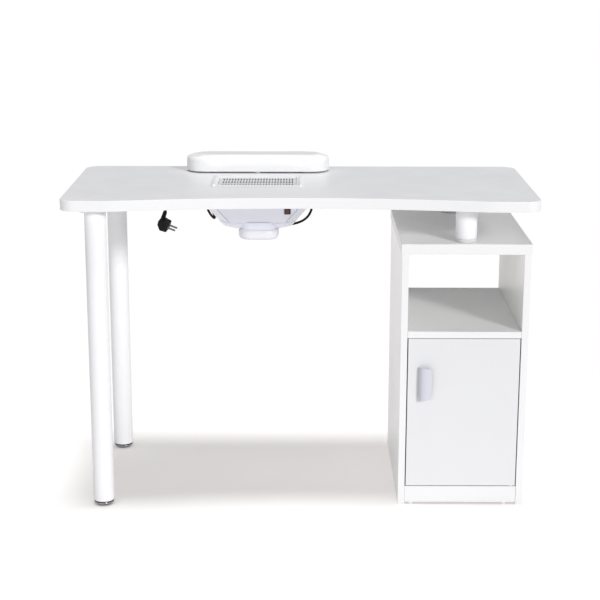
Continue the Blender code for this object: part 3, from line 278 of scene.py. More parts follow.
# ---------------------------------------------------------------- materials
def coordinates(tree, scale):
    """Object coordinates, in metres, times a scale."""
    geometry = tree.nodes.new("ShaderNodeTexCoord")
    mapping = tree.nodes.new("ShaderNodeMapping")
    mapping.inputs["Scale"].default_value = scale if hasattr(scale, "__len__") else (scale, scale, scale)
    tree.links.new(geometry.outputs["Object"], mapping.inputs["Vector"])
    return mapping.outputs["Vector"]


def noise(tree, scale, detail=3.0, rough=0.5):
    node = tree.nodes.new("ShaderNodeTexNoise")
    node.inputs["Scale"].default_value = 1.0
    node.inputs["Detail"].default_value = detail
    node.inputs["Roughness"].default_value = rough
    tree.links.new(coordinates(tree, scale), node.inputs["Vector"])
    return node.outputs["Fac"]


def spread(tree, value, low, high):
    """A noise value mapped to the range from low to high."""
    node = tree.nodes.new("ShaderNodeMapRange")
    node.inputs["From Min"].default_value = 0.3
    node.inputs["From Max"].default_value = 0.7
    node.inputs["To Min"].default_value = low
    node.inputs["To Max"].default_value = high
    tree.links.new(value, node.inputs["Value"])
    return node.outputs["Result"]


def two_tone(tree, value, first, second):
    """Colour between the first and the second, as the value says."""
    node = tree.nodes.new("ShaderNodeMix")
    node.data_type = "RGBA"
    node.inputs["A"].default_value = (*first, 1.0)
    node.inputs["B"].default_value = (*second, 1.0)
    tree.links.new(value, node.inputs["Factor"])
    return node.outputs["Result"]


def bump(tree, shader, height, distance, strength=1.0):
    node = tree.nodes.new("ShaderNodeBump")
    node.inputs["Distance"].default_value = distance
    node.inputs["Strength"].default_value = strength
    tree.links.new(height, node.inputs["Height"])
    tree.links.new(node.outputs["Normal"], shader.inputs["Normal"])


def surface(name, colour, rough, shade=0.02, tone_scale=6.0, grain=400.0, grain_depth=0.00002, metallic=0.0,
            coat=0.0, detail=3.0, streak=None, shine=0.5):
    """Shader with slow changes of tone, a roughness that wanders and a fine grain.

    shade is how far the tone strays, grain is how many grains there are to the metre and grain_depth is
    their height in metres. streak stretches the grain along one axis, as brushing does."""
    mat = bpy.data.materials.new(name)
    mat.use_nodes = True
    tree = mat.node_tree
    shader = tree.nodes["Principled BSDF"]
    dark = tuple(max(0.0, c * (1 - shade)) for c in colour)
    light = tuple(min(1.0, c * (1 + shade)) for c in colour)
    slow = noise(tree, tone_scale, 4.0, 0.6)
    tree.links.new(two_tone(tree, slow, dark, light), shader.inputs["Base Color"])
    tree.links.new(spread(tree, noise(tree, tone_scale * 5, 4.0), rough * 0.85, rough * 1.15),
                   shader.inputs["Roughness"])
    scale = grain if streak is None else tuple(grain * s for s in streak)
    bump(tree, shader, noise(tree, scale, detail), grain_depth)
    shader.inputs["Metallic"].default_value = metallic
    shader.inputs["Specular IOR Level"].default_value = shine
    shader.inputs["Coat Weight"].default_value = coat
    shader.inputs["Coat Roughness"].default_value = 0.12
    return mat


def vinyl():
    """Smooth artificial leather: fine pebbles from one layer of cells, with soft larger unevenness."""
    mat = surface("white_vinyl", (0.79, 0.79, 0.795), 0.42, 0.012, 9.0)
    tree = mat.node_tree
    shader = tree.nodes["Principled BSDF"]
    cells = tree.nodes.new("ShaderNodeTexVoronoi")
    cells.feature = "SMOOTH_F1"
    cells.inputs["Scale"].default_value = 1.0
    cells.inputs["Smoothness"].default_value = 0.6
    tree.links.new(coordinates(tree, 900.0), cells.inputs["Vector"])
    total = tree.nodes.new("ShaderNodeMath")
    total.operation = "MULTIPLY_ADD"
    tree.links.new(cells.outputs["Distance"], total.inputs[0])
    total.inputs[1].default_value = 0.5
    tree.links.new(noise(tree, 60.0, 5.0), total.inputs[2])
    bump(tree, shader, total.outputs[0], 0.00025, 0.5)
    shader.inputs["Sheen Weight"].default_value = 0.05
    return mat


def make_materials():
    white = (0.80, 0.80, 0.81)
    return {
        "laminate": surface("white_laminate", white, 0.36, 0.012, 3.0, 1500.0, 0.000012),
        "edge": surface("edge_band", (0.735, 0.735, 0.745), 0.40, 0.004, 12.0, 900.0, 0.000002),
        # Brighter copy of the white laminate for the cabinet boards: painted light that lifts the shade
        # under the tabletop and inside the open bay.
        "cabinet": surface("cabinet_laminate_painted_light", (0.87, 0.87, 0.865), 0.36, 0.012, 3.0, 1500.0, 0.000012),
        # Darker copy of the white laminate for the door and kick plate: painted shade that tones down the
        # strong front light on them.
        "door": surface("door_laminate_painted_shade", (0.665, 0.67, 0.685), 0.36, 0.012, 3.0, 1500.0, 0.000012),
        "powder": surface("white_powder_coat", (0.78, 0.785, 0.80), 0.45, 0.012, 8.0, 900.0, 0.00005,
                          detail=2.0, shine=0.2),
        "chrome": surface("chrome", (0.33, 0.335, 0.35), 0.14, 0.08, 30.0, 1200.0, 0.00001, 1.0),
        "zinc": surface("zinc_steel", (0.55, 0.56, 0.58), 0.34, 0.15, 120.0, 1500.0, 0.00002, 1.0),
        "brushed": surface("pin_metal", (0.16, 0.16, 0.165), 0.34, 0.06, 60.0, 1500.0, 0.000002, 1.0,
                           streak=(0.1, 1, 1)),
        "base": surface("grey_white_plastic", (0.66, 0.66, 0.67), 0.42, 0.02, 20.0, 1100.0, 0.00003),
        "white_plastic": surface("white_plastic", white, 0.42, 0.02, 20.0, 1100.0, 0.00003),
        "housing": surface("collector_plastic", (0.745, 0.76, 0.84), 0.40, 0.02, 14.0, 1400.0, 0.00004),
        "seam": surface("collector_seam", (0.42, 0.43, 0.47), 0.45, 0.02, 14.0, 1400.0, 0.00003),
        "collar": surface("collar_plastic", (0.70, 0.70, 0.74), 0.38, 0.02, 14.0, 1400.0, 0.00004),
        "bezel": surface("vent_frame_plastic", (0.80, 0.80, 0.805), 0.38, 0.02, 14.0, 1400.0, 0.00003),
        "vent": surface("vent_metal", (0.66, 0.66, 0.67), 0.40, 0.02, 20.0, 1300.0, 0.00003, 0.1),
        "black": surface("black_plastic", (0.013, 0.013, 0.014), 0.48, 0.25, 25.0, 1300.0, 0.00003,
                         shine=0.3),
        "rubber": surface("cord_rubber", (0.010, 0.010, 0.011), 0.62, 0.25, 25.0, 1600.0, 0.00003,
                          shine=0.10),
        "red": surface("red_plastic", (0.085, 0.007, 0.009), 0.25, 0.10, 40.0, 900.0, 0.00001, coat=0.25),
        "handle": surface("handle_plastic", (0.54, 0.545, 0.61), 0.34, 0.015, 20.0, 1200.0, 0.00002),
        "vinyl": vinyl(),
    }


# ---------------------------------------------------------------- cord
CLIPS = {"right": ((0.0320, 0.1290), 90), "left_rear": ((-0.2223, 0.1560), 76),
         "left_front": ((-0.2450, 0.0180), 82), "plug": ((-0.2934, -0.0763), 150)}
CLIP_RUN = 0.008
COIL_LINE_Y = COIL.y + COIL_RADII[0]
COIL_JOIN = 0.0222
PLUG_TOP = Vector((-0.3237, -0.0587, 0.6905))
PLUG_DOWN = Vector((-0.31, 0.18, -0.93)).normalized()
PLUG_SIDE = Vector((-0.18, -0.97, -0.13))
RELIEF_LENGTH = 0.024


def back_wall_frame(x, z):
    """Frame on the collector's sloping back wall, with local Z pointing out of it."""
    y = HOUSING.y + (0.088 - WALL_SLOPE * (TOUCH - z))
    return Matrix.Translation((x, y, z)) @ Matrix.Rotation(-math.pi / 2 - math.atan(WALL_SLOPE), 4, "X")


def front_wall_frame(x, z):
    """The same on its front wall."""
    y = HOUSING.y - (0.088 - WALL_SLOPE * (TOUCH - z))
    return Matrix.Translation((x, y, z)) @ Matrix.Rotation(math.pi / 2 + math.atan(WALL_SLOPE), 4, "X")


RELIEF = back_wall_frame(-0.058, 0.662)


def through_clip(name, way=1):
    """Three points in line through a clip; way is -1 where the cord runs against the clip's heading."""
    (x, y), heading = CLIPS[name]
    step = Vector((math.cos(math.radians(heading)), math.sin(math.radians(heading)), 0)) * CLIP_RUN * way
    middle = Vector((x, y, CORD_TOP_Z))
    return [middle - step, middle, middle + step]


def smooth_route(route, spacing):
    """Points at an even spacing on a Catmull-Rom curve through the route's own points."""
    pts = [Vector(p) for p in route]
    pts = [2 * pts[0] - pts[1]] + pts + [2 * pts[-1] - pts[-2]]
    fine = []
    for p0, p1, p2, p3 in zip(pts, pts[1:], pts[2:], pts[3:]):
        for step in range(20):
            t = step / 20
            fine.append(0.5 * (2 * p1 + (p2 - p0) * t + (2 * p0 - 5 * p1 + 4 * p2 - p3) * t * t
                               + (3 * p1 - p0 - 3 * p2 + p3) * t ** 3))
    fine.append(pts[-2])
    lengths = [0.0]
    for a, b in zip(fine, fine[1:]):
        lengths.append(lengths[-1] + (b - a).length)
    count = max(2, round(lengths[-1] / spacing))
    result = []
    index = 0
    for step in range(count + 1):
        target = lengths[-1] * step / count
        while index < len(fine) - 2 and lengths[index + 1] < target:
            index += 1
        span = lengths[index + 1] - lengths[index]
        t = (target - lengths[index]) / span if span else 0.0
        point = fine[index].lerp(fine[index + 1], min(t, 1.0))
        point.z = min(point.z, CORD_TOP_Z)
        result.append(point)
    return result


def route_to_coil():
    """Centre line from the strain relief, in a loop beside the collector, through a clip to the coil."""
    tip = RELIEF @ Vector((0, 0, RELIEF_LENGTH))
    way = (RELIEF.to_3x3() @ Vector((0, 0, 1))).normalized()
    return [tip + way * 2 * GAP, tip + way * 0.014, (-0.0558, 0.1129, 0.6336), (-0.0498, 0.1218, 0.6271),
            (-0.0371, 0.1252, 0.6231), (-0.0256, 0.1233, 0.6231), (-0.0139, 0.1195, 0.6255),
            (-0.0029, 0.1148, 0.6298), (0.0069, 0.1097, 0.6356), (0.0150, 0.1046, 0.6429),
            (0.0214, 0.1000, 0.6517), (0.0260, 0.0962, 0.6619), (0.0291, 0.0938, 0.6735),
            (0.0310, 0.0931, 0.6857), (0.0320, 0.0945, 0.6975), (0.0323, 0.1001, 0.7110),
            (0.0322, 0.1103, 0.7195), *through_clip("right"), (0.0310, 0.1489, 0.7215),
            (0.0236, 0.1717, 0.7197), (0.0095, 0.1915, 0.7168), (-0.0096, 0.2064, 0.7143),
            (-0.0320, 0.2148, 0.7127), (-0.0540, COIL_LINE_Y, COIL_HEIGHTS[0]),
            (COIL.x + COIL_JOIN, COIL_LINE_Y, COIL_HEIGHTS[0])]


def route_to_plug():
    """Centre line from the coil, in a loop down and forward, through three clips to the plug."""
    return [(COIL.x - COIL_JOIN, COIL_LINE_Y, COIL_HEIGHTS[1]), (-0.1364, 0.2153, 0.7187),
            (-0.1610, 0.2117, 0.7191), (-0.1845, 0.2036, 0.7201), (-0.2045, 0.1901, 0.7213),
            (-0.2140, 0.1795, 0.7217), *through_clip("left_rear", -1), (-0.2275, 0.1356, 0.7175),
            (-0.2292, 0.1278, 0.7065), (-0.2294, 0.1243, 0.6954), (-0.2285, 0.1215, 0.6834),
            (-0.2257, 0.1183, 0.6716), (-0.2218, 0.1136, 0.6604), (-0.2167, 0.1046, 0.6500),
            (-0.2146, 0.0931, 0.6453), (-0.2160, 0.0809, 0.6470), (-0.2212, 0.0699, 0.6548),
            (-0.2276, 0.0611, 0.6677), (-0.2315, 0.0560, 0.6790), (-0.2348, 0.0515, 0.6912),
            (-0.2378, 0.0469, 0.7032), (-0.2405, 0.0411, 0.7135), *through_clip("left_front", -1),
            (-0.2474, -0.0021, 0.7217), (-0.2486, -0.0284, 0.7217), (-0.2512, -0.0545, 0.7217),
            (-0.2542, -0.0659, 0.7217), (-0.2609, -0.0777, 0.7217), (-0.2700, -0.0838, 0.7217),
            (-0.2790, -0.0835, 0.7217), *through_clip("plug"), (-0.3104, -0.0666, 0.7180),
            (-0.3177, -0.0623, 0.7092), PLUG_TOP - PLUG_DOWN * 0.0080, PLUG_TOP - PLUG_DOWN * 0.001]


def coil_points(per_turn=28):
    """Three turns, two across and two high; at the end of each the strands change places together."""
    middle_r = sum(COIL_RADII) / 2
    middle_z = sum(COIL_HEIGHTS) / 2
    corner = math.hypot(COIL_RADII[0] - middle_r, COIL_HEIGHTS[1] - middle_z)
    window = (0.806, 0.972)
    points = [COIL + Vector((COIL_JOIN * k / 3, COIL_RADII[0], COIL_HEIGHTS[0])) for k in (2, 1)]
    total = COIL_TURNS * per_turn
    for k in range(total + 1):
        turn = k / per_turn
        lap = min(int(turn), COIL_TURNS - 1)
        into = min(1.0, max(0.0, (turn - lap - window[0]) / (window[1] - window[0])))
        into = into * into * (3 - 2 * into)
        slot = math.radians(-45 - 90 * (lap + into))
        radius = middle_r + corner * math.cos(slot)
        height = middle_z + corner * math.sin(slot)
        angle = math.pi / 2 + turn * math.tau
        points.append(COIL + Vector((radius * math.cos(angle), radius * math.sin(angle), height)))
    points += [COIL + Vector((-COIL_JOIN * k / 3, COIL_RADII[0], COIL_HEIGHTS[1])) for k in (1, 2)]
    return points


def make_cord(mats):
    """The whole cord as one curve; returns it with its exit point and its length."""
    route = route_to_coil() + coil_points() + route_to_plug()
    points = smooth_route(route, CORD_SPACING)
    curve = bpy.data.curves.new("mains_cord", "CURVE")
    curve.dimensions = "3D"
    curve.bevel_depth = CORD_RADIUS
    curve.bevel_resolution = 4
    curve.use_fill_caps = True
    spline = curve.splines.new("POLY")
    spline.points.add(len(points) - 1)
    for target, point in zip(spline.points, points):
        target.co = (*point, 1.0)
    spline.use_smooth = True
    curve.materials.append(mats["rubber"])
    obj = bpy.data.objects.new("mains_cord", curve)
    scene.collection.objects.link(obj)
    place(obj, "table", "cord_to_coil", "cord_coil", "cord_to_plug")
    length = sum((b - a).length for a, b in zip(points, points[1:]))
    return obj, points[0], length


def plug_frame():
    """Frame at the sleeve's top, with local Z along the plug and local X the way its pins point."""
    pins = PLUG_SIDE.cross(PLUG_DOWN).normalized()
    side = PLUG_DOWN.cross(pins).normalized()
    return Matrix.Translation(PLUG_TOP) @ Matrix((pins, side, PLUG_DOWN)).transposed().to_4x4()


def make_plug(mats):
    """Sleeve with bending ribs, a moulded block with a grip step, and two round pins."""
    frame_matrix = plug_frame()
    ribs = [(0.0, 0.0003), (0.0038, 0.0003)]
    for k in range(7):
        z = 0.001 + k * 0.0028
        ribs += [(0.0043 + 0.00016 * k, z), (0.0047 + 0.00018 * k, z + 0.0004),
                 (0.0047 + 0.00018 * k, z + 0.0014), (0.0040 + 0.00018 * k, z + 0.0018),
                 (0.0040 + 0.00018 * k, z + 0.0024)]
    ribs += [(0.0060, 0.0212), (0.0062, 0.0255), (0.0, 0.0255)]
    sleeve = new_object(turned(ribs, segments=40), "plug_sleeve", mats["rubber"], matrix=frame_matrix)
    swap = Matrix(((1, 0, 0, 0), (0, 0, -1, 0), (0, 1, 0, 0), (0, 0, 0, 1)))
    outline = [(0.0190, 0.0245), (0.0190, 0.0440), (0.0030, 0.0455), (-0.0060, 0.0340), (-0.0066, 0.0235),
               (0.0020, 0.0215)]
    block = new_object(moved(prism(outline, (-0.0170, 0.0170)), swap), "plug_block", mats["rubber"],
                       matrix=frame_matrix)
    combine(block, box((0.0186, 0.0200), (-0.0140, 0.0140), (0.0272, 0.0416)))
    soften(block, 0.0011, 3)
    pin = [(0.0, 0.0305), (0.0012, 0.0305), (0.0019, 0.0300), (0.0023, 0.0286), (0.0023, 0.0150),
           (0.0024, 0.0148), (0.0024, 0.0080), (0.0, 0.0080)]
    turn = Vector((0, 0, 1)).rotation_difference(Vector((1, 0, 0))).to_matrix().to_4x4()
    pins = bmesh.new()
    for sign in (-1, 1):
        add(pins, moved(turned(pin, segments=28),
                        Matrix.Translation((0.008, sign * 0.0095, 0.0343)) @ turn))
    pin_obj = new_object(pins, "plug_pin_pair", mats["brushed"], matrix=frame_matrix)
    place(block, "table", "plug_body")
    place(sleeve, "table")
    place(pin_obj, "table", "plug_pins")
    return [sleeve, block, pin_obj]


def make_relief(mats):
    """Tapered strain relief with bending slots, on the collector's back wall."""
    profile = [(0.0, RELIEF_LENGTH), (0.0034, RELIEF_LENGTH)]
    for k in range(6):
        z = RELIEF_LENGTH - 0.0012 - k * 0.0030
        wide = 0.0037 + 0.00030 * k
        profile += [(wide, z), (wide + 0.0001, z - 0.0016), (wide - 0.0006, z - 0.0019),
                    (wide - 0.0006, z - 0.0027)]
    profile += [(0.0058, 0.0042), (0.0082, 0.0032), (0.0085, 0.0024), (0.0085, GAP), (0.0060, GAP),
                (0.0060, -0.0030), (0.0, -0.0030)]
    obj = new_object(turned(profile, segments=40), "strain_relief", mats["rubber"], matrix=RELIEF)
    place(obj, "table", "cord_strain_relief")


# ---------------------------------------------------------------- tabletop
def scoop(x):
    """Depth of the curve that is cut from the front edge."""
    arc = 0.043 * (1 - (x / 0.430) ** 2)
    return (arc + math.hypot(arc, 0.004)) / 2


def tabletop_outline(front_steps=150, corner_steps=14, radius=0.035):
    """Three rounded corners, the scooped front edge from left to right, and the last corner."""
    points = []
    for quarter, sx, sy in ((0, 1, 1), (1, -1, 1), (2, -1, -1)):
        for step in range(corner_steps + 1):
            angle = (quarter + step / corner_steps) * math.pi / 2
            points.append((sx * (HALF_WIDTH - radius) + radius * math.cos(angle),
                           sy * (HALF_DEPTH - radius) + radius * math.sin(angle)))
    reach = HALF_WIDTH - radius
    for step in range(1, front_steps):
        x = -reach + 2 * reach * step / front_steps
        points.append((x, -HALF_DEPTH + scoop(x)))
    for step in range(corner_steps + 1):
        angle = (3 + step / corner_steps) * math.pi / 2
        points.append((HALF_WIDTH - radius + radius * math.cos(angle),
                       -HALF_DEPTH + radius + radius * math.sin(angle)))
    return points


def band_sides(obj, upright=0.5):
    """Give the upright faces of a board the second material, which is its edge band."""
    for face in obj.data.polygons:
        if abs(face.normal.z) < upright:
            face.material_index = 1


def make_tabletop(mats):
    top = new_object(prism(tabletop_outline(), TOP_Z), "tabletop_board", [mats["laminate"], mats["edge"]])
    band_sides(top)
    combine(top, prism(rounded_rectangle(*VENT_CUT, 0.006, 4, (VENT.x, VENT.y)), (0.70, 0.77)))
    soften(top, 0.0013, 3, 50)
    place(top, "table", "tabletop")


# ---------------------------------------------------------------- tubes, plates and feet
def screw_head(x, y, z, radius, height):
    """Plain pan head that hangs below z."""
    profile = [(0.0, z), (radius, z), (radius, z - height * 0.35), (radius * 0.86, z - height * 0.8),
               (radius * 0.55, z - height), (0.0, z - height)]
    return turned(profile, (x, y), 24)


def make_screws(name, spots, radius, height, mat):
    """Pan heads at the (x, y, z) spots, each with a cross recess cut one arm at a time."""
    heads = bmesh.new()
    for spot in spots:
        add(heads, screw_head(*spot, radius, height))
    screws = new_object(heads, name, mat)
    for half in ((radius * 0.55, radius * 0.12), (radius * 0.12, radius * 0.55)):
        arms = bmesh.new()
        for x, y, z in spots:
            add(arms, box((x - half[0], x + half[0]), (y - half[1], y + half[1]),
                          (z - height * 1.3, z - height * 0.45)))
        combine(screws, arms)
    place(screws, "table")


def make_plate(name, x, y, mats):
    """Square plate under the top, with the socket that the tube slides over and four screws."""
    z_low = TOUCH - PLATE_THICKNESS
    outline = rounded_rectangle(PLATE_HALF, PLATE_HALF, 0.008, 8, (x, y))
    plate = new_object(prism(outline, (z_low, TOUCH)), name + "_flange", mats["powder"])
    soften(plate, 0.0008, 3, 50)
    outer, inner = SOCKET_RADIUS, SOCKET_RADIUS - 0.003
    profile = [(outer, z_low), (outer, z_low - 0.022), (inner, z_low - 0.022), (inner, z_low)]
    ring = new_object(turned(profile, (x, y), 48), name + "_socket", mats["zinc"])
    spots = [(x + sx * PLATE_HOLE_OFFSET, y + sy * PLATE_HOLE_OFFSET, z_low)
             for sx in (-1, 1) for sy in (-1, 1)]
    make_screws(name + "_screws", spots, 0.0042, 0.0026, mats["zinc"])
    place(plate, "table", name + "_plate")
    place(ring, "table")


def make_tube(name, x, y, z, mats):
    """Round steel tube with softened rims."""
    outer, inner, edge = TUBE_RADIUS, TUBE_RADIUS - TUBE_WALL, 0.0008
    profile = [(outer - edge, z[1]), (outer - edge * 0.3, z[1] - edge * 0.3), (outer, z[1] - edge),
               (outer, z[0] + edge), (outer - edge * 0.3, z[0] + edge * 0.3), (outer - edge, z[0]),
               (inner, z[0]), (inner, z[1])]
    tube = new_object(turned(profile, (x, y), 96), name + "_column", mats["powder"])
    place(tube, "table", name + "_tube")


def make_foot(name, y, mats):
    """Pressed chrome cup over a dark plastic pad, on a threaded stud."""
    centre = (LEG_X, y)
    cup = [(0.0, 0.0090), (0.0226, 0.0090), (0.0234, 0.0087), (0.0237, 0.0080), (0.0237, 0.0060),
           (0.0234, 0.0052), (0.0226, 0.0040), (0.0216, 0.0028), (0.0207, 0.0021), (0.0, 0.0021)]
    pad = [(0.0, 0.0020), (0.0204, 0.0020), (0.0198, 0.0011), (0.0182, 0.0003), (0.0168, 0.0), (0.0, 0.0)]
    stud = [(0.0, 0.045), (0.0040, 0.045), (0.0050, 0.0440)]
    for k in range(22):
        z = 0.0435 - k * 0.0015
        stud += [(0.0050, z), (0.0044, z - 0.00075)]
    stud += [(0.0050, 0.0100), (0.0050, 0.0091), (0.0, 0.0091)]
    body = "front_foot" if name == "leg_front" else "rear_foot"
    cup_obj = new_object(turned(cup, centre, 72), name + "_cup", mats["chrome"], 50)
    place(cup_obj, body, name + "_foot")
    place(new_object(turned(pad, centre, 72), name + "_pad", mats["black"]), body)
    place(new_object(turned(stud, centre, 28), name + "_stud", mats["zinc"], 20), body)


def make_post_base(name, y, mats):
    """Plastic ring that a post stands on, with a plug that reaches up into the tube."""
    z = CAB_TOP_Z + GAP
    rim = CAB_TOP_Z + POST_BASE_HEIGHT
    radius = TUBE_RADIUS
    profile = [(SOCKET_RADIUS, rim), (radius - 0.0006, rim - 0.0002), (radius, rim - 0.0008),
               (radius, z + 0.0010), (radius - 0.0004, z + 0.0003), (radius - 0.0012, z), (0.0043, z),
               (0.0043, rim + 0.020), (SOCKET_RADIUS, rim + 0.020)]
    obj = new_object(turned(profile, (POST_X, y), 96), name + "_ring", mats["base"])
    place(obj, "table", name + "_base")


def make_supports(mats):
    top = TOUCH - PLATE_THICKNESS - GAP
    for name, y in LEG_Y.items():
        make_plate(name, LEG_X, y, mats)
        make_tube(name, LEG_X, y, (LEG_TUBE_LOW, top), mats)
        make_foot(name, y, mats)
    for name, y in POST_Y.items():
        make_plate(name, POST_X, y, mats)
        make_tube(name, POST_X, y, (CAB_TOP_Z + POST_BASE_HEIGHT + GAP, top), mats)
        make_post_base(name, y, mats)


# ---------------------------------------------------------------- cabinet
def make_board(node, mats, body="table", banded=("-Y",), width=0.0008, finish="cabinet"):
    """A finer copy of a board: rounded edges, with the edge band on the faces that show one."""
    low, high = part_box(node)
    obj = new_object(box(*zip(low, high)), node + "_board", [mats[finish], mats["edge"]])
    for face in obj.data.polygons:
        for axis in range(3):
            for sign in (-1, 1):
                label = ("-" if sign < 0 else "+") + "XYZ"[axis]
                if label in banded and face.normal[axis] * sign > 0.9:
                    face.material_index = 1
    soften(obj, width, 3, 50)
    place(obj, body, node)


def make_cabinet(mats):
    make_board("cabinet_top", mats, banded=("-Y", "+Y", "-X", "+X"), width=0.0012)
    make_board("cabinet_side_left", mats)
    make_board("cabinet_side_right", mats)
    make_board("cabinet_shelf", mats)
    # The kick plate takes the darker door laminate: painted shade against the front light.
    make_board("cabinet_kick_plate", mats, finish="door")
    make_board("door", mats, "door_leaf", ("-X", "+X", "-Z", "+Z"), 0.0010, "door")


# ---------------------------------------------------------------- door handle
HANDLE_X = 0.2795
HANDLE_WIDTH = 0.0315
HANDLE_Z = (0.266, 0.346)
HANDLE_THICKNESS = 0.0022
HANDLE_CREST = 0.40  # share of the section where the pull is tallest
DOOR_FACE = -0.202


def handle_point(t):
    """Point of the pull's section as (across, out), from the door at 0 to the lip at 1."""
    controls = ((0.0, 0.0), (0.02, 0.60), (0.55, 0.64), (1.0, 0.36))
    weights = ((1 - t) ** 3, 3 * t * (1 - t) ** 2, 3 * t * t * (1 - t), t ** 3)
    return tuple(HANDLE_WIDTH * sum(w * p[axis] for w, p in zip(weights, controls)) for axis in (0, 1))


def handle_ends(t):
    """How far the slanting ends stand back from the tallest point: at the bottom and at the top."""
    if t < HANDLE_CREST:
        return 0.0035 * (HANDLE_CREST - t) / HANDLE_CREST, 0.0010 * (1 - t / HANDLE_CREST)
    past, whole = t - HANDLE_CREST, 1 - HANDLE_CREST
    return 0.0026 * past / whole, 0.0034 * past / whole


def make_handle(mats):
    """The curved sheet of the pull, thickened towards the door, and its two screw bosses."""
    steps, rows = 24, 20
    bm = bmesh.new()
    grid = []
    for row in range(rows + 1):
        line = []
        for step in range(steps + 1):
            across, out = handle_point(step / steps)
            bottom, top = handle_ends(step / steps)
            height = HANDLE_Z[0] + bottom + (HANDLE_Z[1] - HANDLE_Z[0] - bottom - top) * row / rows
            line.append(bm.verts.new((HANDLE_X + across, DOOR_FACE - GAP - out, height)))
        grid.append(line)
    for lower, upper in zip(grid, grid[1:]):
        for i in range(steps):
            bm.faces.new((lower[i], upper[i], upper[i + 1], lower[i + 1]))
    handle = new_object(bm, "door_pull", mats["handle"], 60)
    normal_out = handle.data.polygons[len(handle.data.polygons) // 2].normal.y
    thick = handle.modifiers.new("thick", "SOLIDIFY")
    thick.thickness = HANDLE_THICKNESS
    thick.offset = -1.0 if normal_out < 0 else 1.0
    bake(handle)
    soften(handle, 0.0007, 3, 50)
    bosses = bmesh.new()
    profile = [(0, 0.0150), (0.0042, 0.0150), (0.0044, 0.0010), (0.0044, GAP), (0, GAP)]
    turn = Vector((0, 0, 1)).rotation_difference(Vector((0, -1, 0))).to_matrix().to_4x4()
    for sign in (-1, 1):
        middle = Vector((HANDLE_X + HANDLE_WIDTH * 0.36, DOOR_FACE, 0.306 + sign * 0.028))
        add(bosses, moved(turned(profile, segments=32), Matrix.Translation(middle) @ turn))
    boss = new_object(bosses, "door_pull_bosses", mats["handle"])
    place(handle, "door_leaf", "door_handle")
    place(boss, "door_leaf")


# ---------------------------------------------------------------- vent
def make_vent(mats):
    """Frame with a skirt in the board's cut-out, a raised rim at each end, and the slotted plate."""
    z = (TOP_Z[1] + GAP, TOP_Z[1] + 0.0011)
    centre = (VENT.x, VENT.y)
    opening = (VENT.x, VENT_PLATE_Y)
    half_x, half_y = VENT_PLATE_HALF
    bezel = new_object(prism(rounded_rectangle(*BEZEL_HALF, 0.008, 8, centre), z), "vent_frame",
                       mats["bezel"])
    skirt = rounded_rectangle(VENT_CUT[0] - GAP, VENT_CUT[1] - GAP, 0.0057, 6, centre)
    combine(bezel, prism(skirt, (0.727, z[1] - 0.0003)), "UNION")
    seat = rounded_rectangle(half_x + 0.0005, half_y + 0.0005, 0.003, 4, opening)
    combine(bezel, prism(seat, (0.7460, 0.77)))
    mouth = rounded_rectangle(half_x - 0.004, half_y - 0.004, 0.003, 4, opening)
    combine(bezel, prism(mouth, (0.70, 0.75)))
    soften(bezel, 0.0004, 2, 50)
    place(bezel, "table", "vent_bezel")
    for name, sign in (("left", -1), ("right", 1)):
        x = VENT.x + sign * (BEZEL_HALF[0] - 0.0045)
        rings = []
        for inset, height in ((0.0, z[1] - 0.0004), (0.0, z[1] + 0.0016), (0.0006, z[1] + 0.0027),
                              (0.0016, z[1] + 0.0034), (0.0028, z[1] + 0.0037)):
            outline = rounded_rectangle(0.0040 - inset, BEZEL_HALF[1] - 0.002 - inset,
                                        max(0.0038 - inset, 0.001), 6, (x, VENT.y))
            rings.append([(px, py, height) for px, py in outline])
        place(new_object(loft(rings), "vent_rim_" + name, mats["bezel"]), "table")
    plate = new_object(prism(rounded_rectangle(*VENT_PLATE_HALF, 0.0028, 4, opening), (0.7468, 0.7478)),
                       "vent_slotted_plate", mats["vent"])
    slots = bmesh.new()
    for column in range(SLOT_COLUMNS):
        for row in range(SLOT_ROWS):
            x = VENT.x + (column - SLOT_COLUMNS // 2) * SLOT_PITCH[0]
            y = VENT_PLATE_Y + (row - SLOT_ROWS // 2) * SLOT_PITCH[1]
            turned_stadium = [(x + py, y + px) for px, py in stadium(*SLOT_HALF, 5)]
            add(slots, prism(turned_stadium, (0.74, 0.755)))
    combine(plate, slots)
    soften(plate, 0.00025, 1, 50)
    place(plate, "vent_grille", "vent_plate")


# ---------------------------------------------------------------- dust collector
def chamfered_ring(half_x, half_y, chamfer, z):
    """Rectangle around the collector's axis, at height z, with its corners cut off."""
    corners = []
    for sx, sy, first_along_x in ((1, 1, False), (-1, 1, True), (-1, -1, False), (1, -1, True)):
        near_x = (HOUSING.x + sx * (half_x - chamfer), HOUSING.y + sy * half_y, z)
        near_y = (HOUSING.x + sx * half_x, HOUSING.y + sy * (half_y - chamfer), z)
        corners += [near_x, near_y] if first_along_x else [near_y, near_x]
    return corners


def hopper_depth(z):
    """Half depth between the slanting front and back walls at height z."""
    return HOPPER_TOP[1] - WALL_SLOPE * (TOUCH - z)


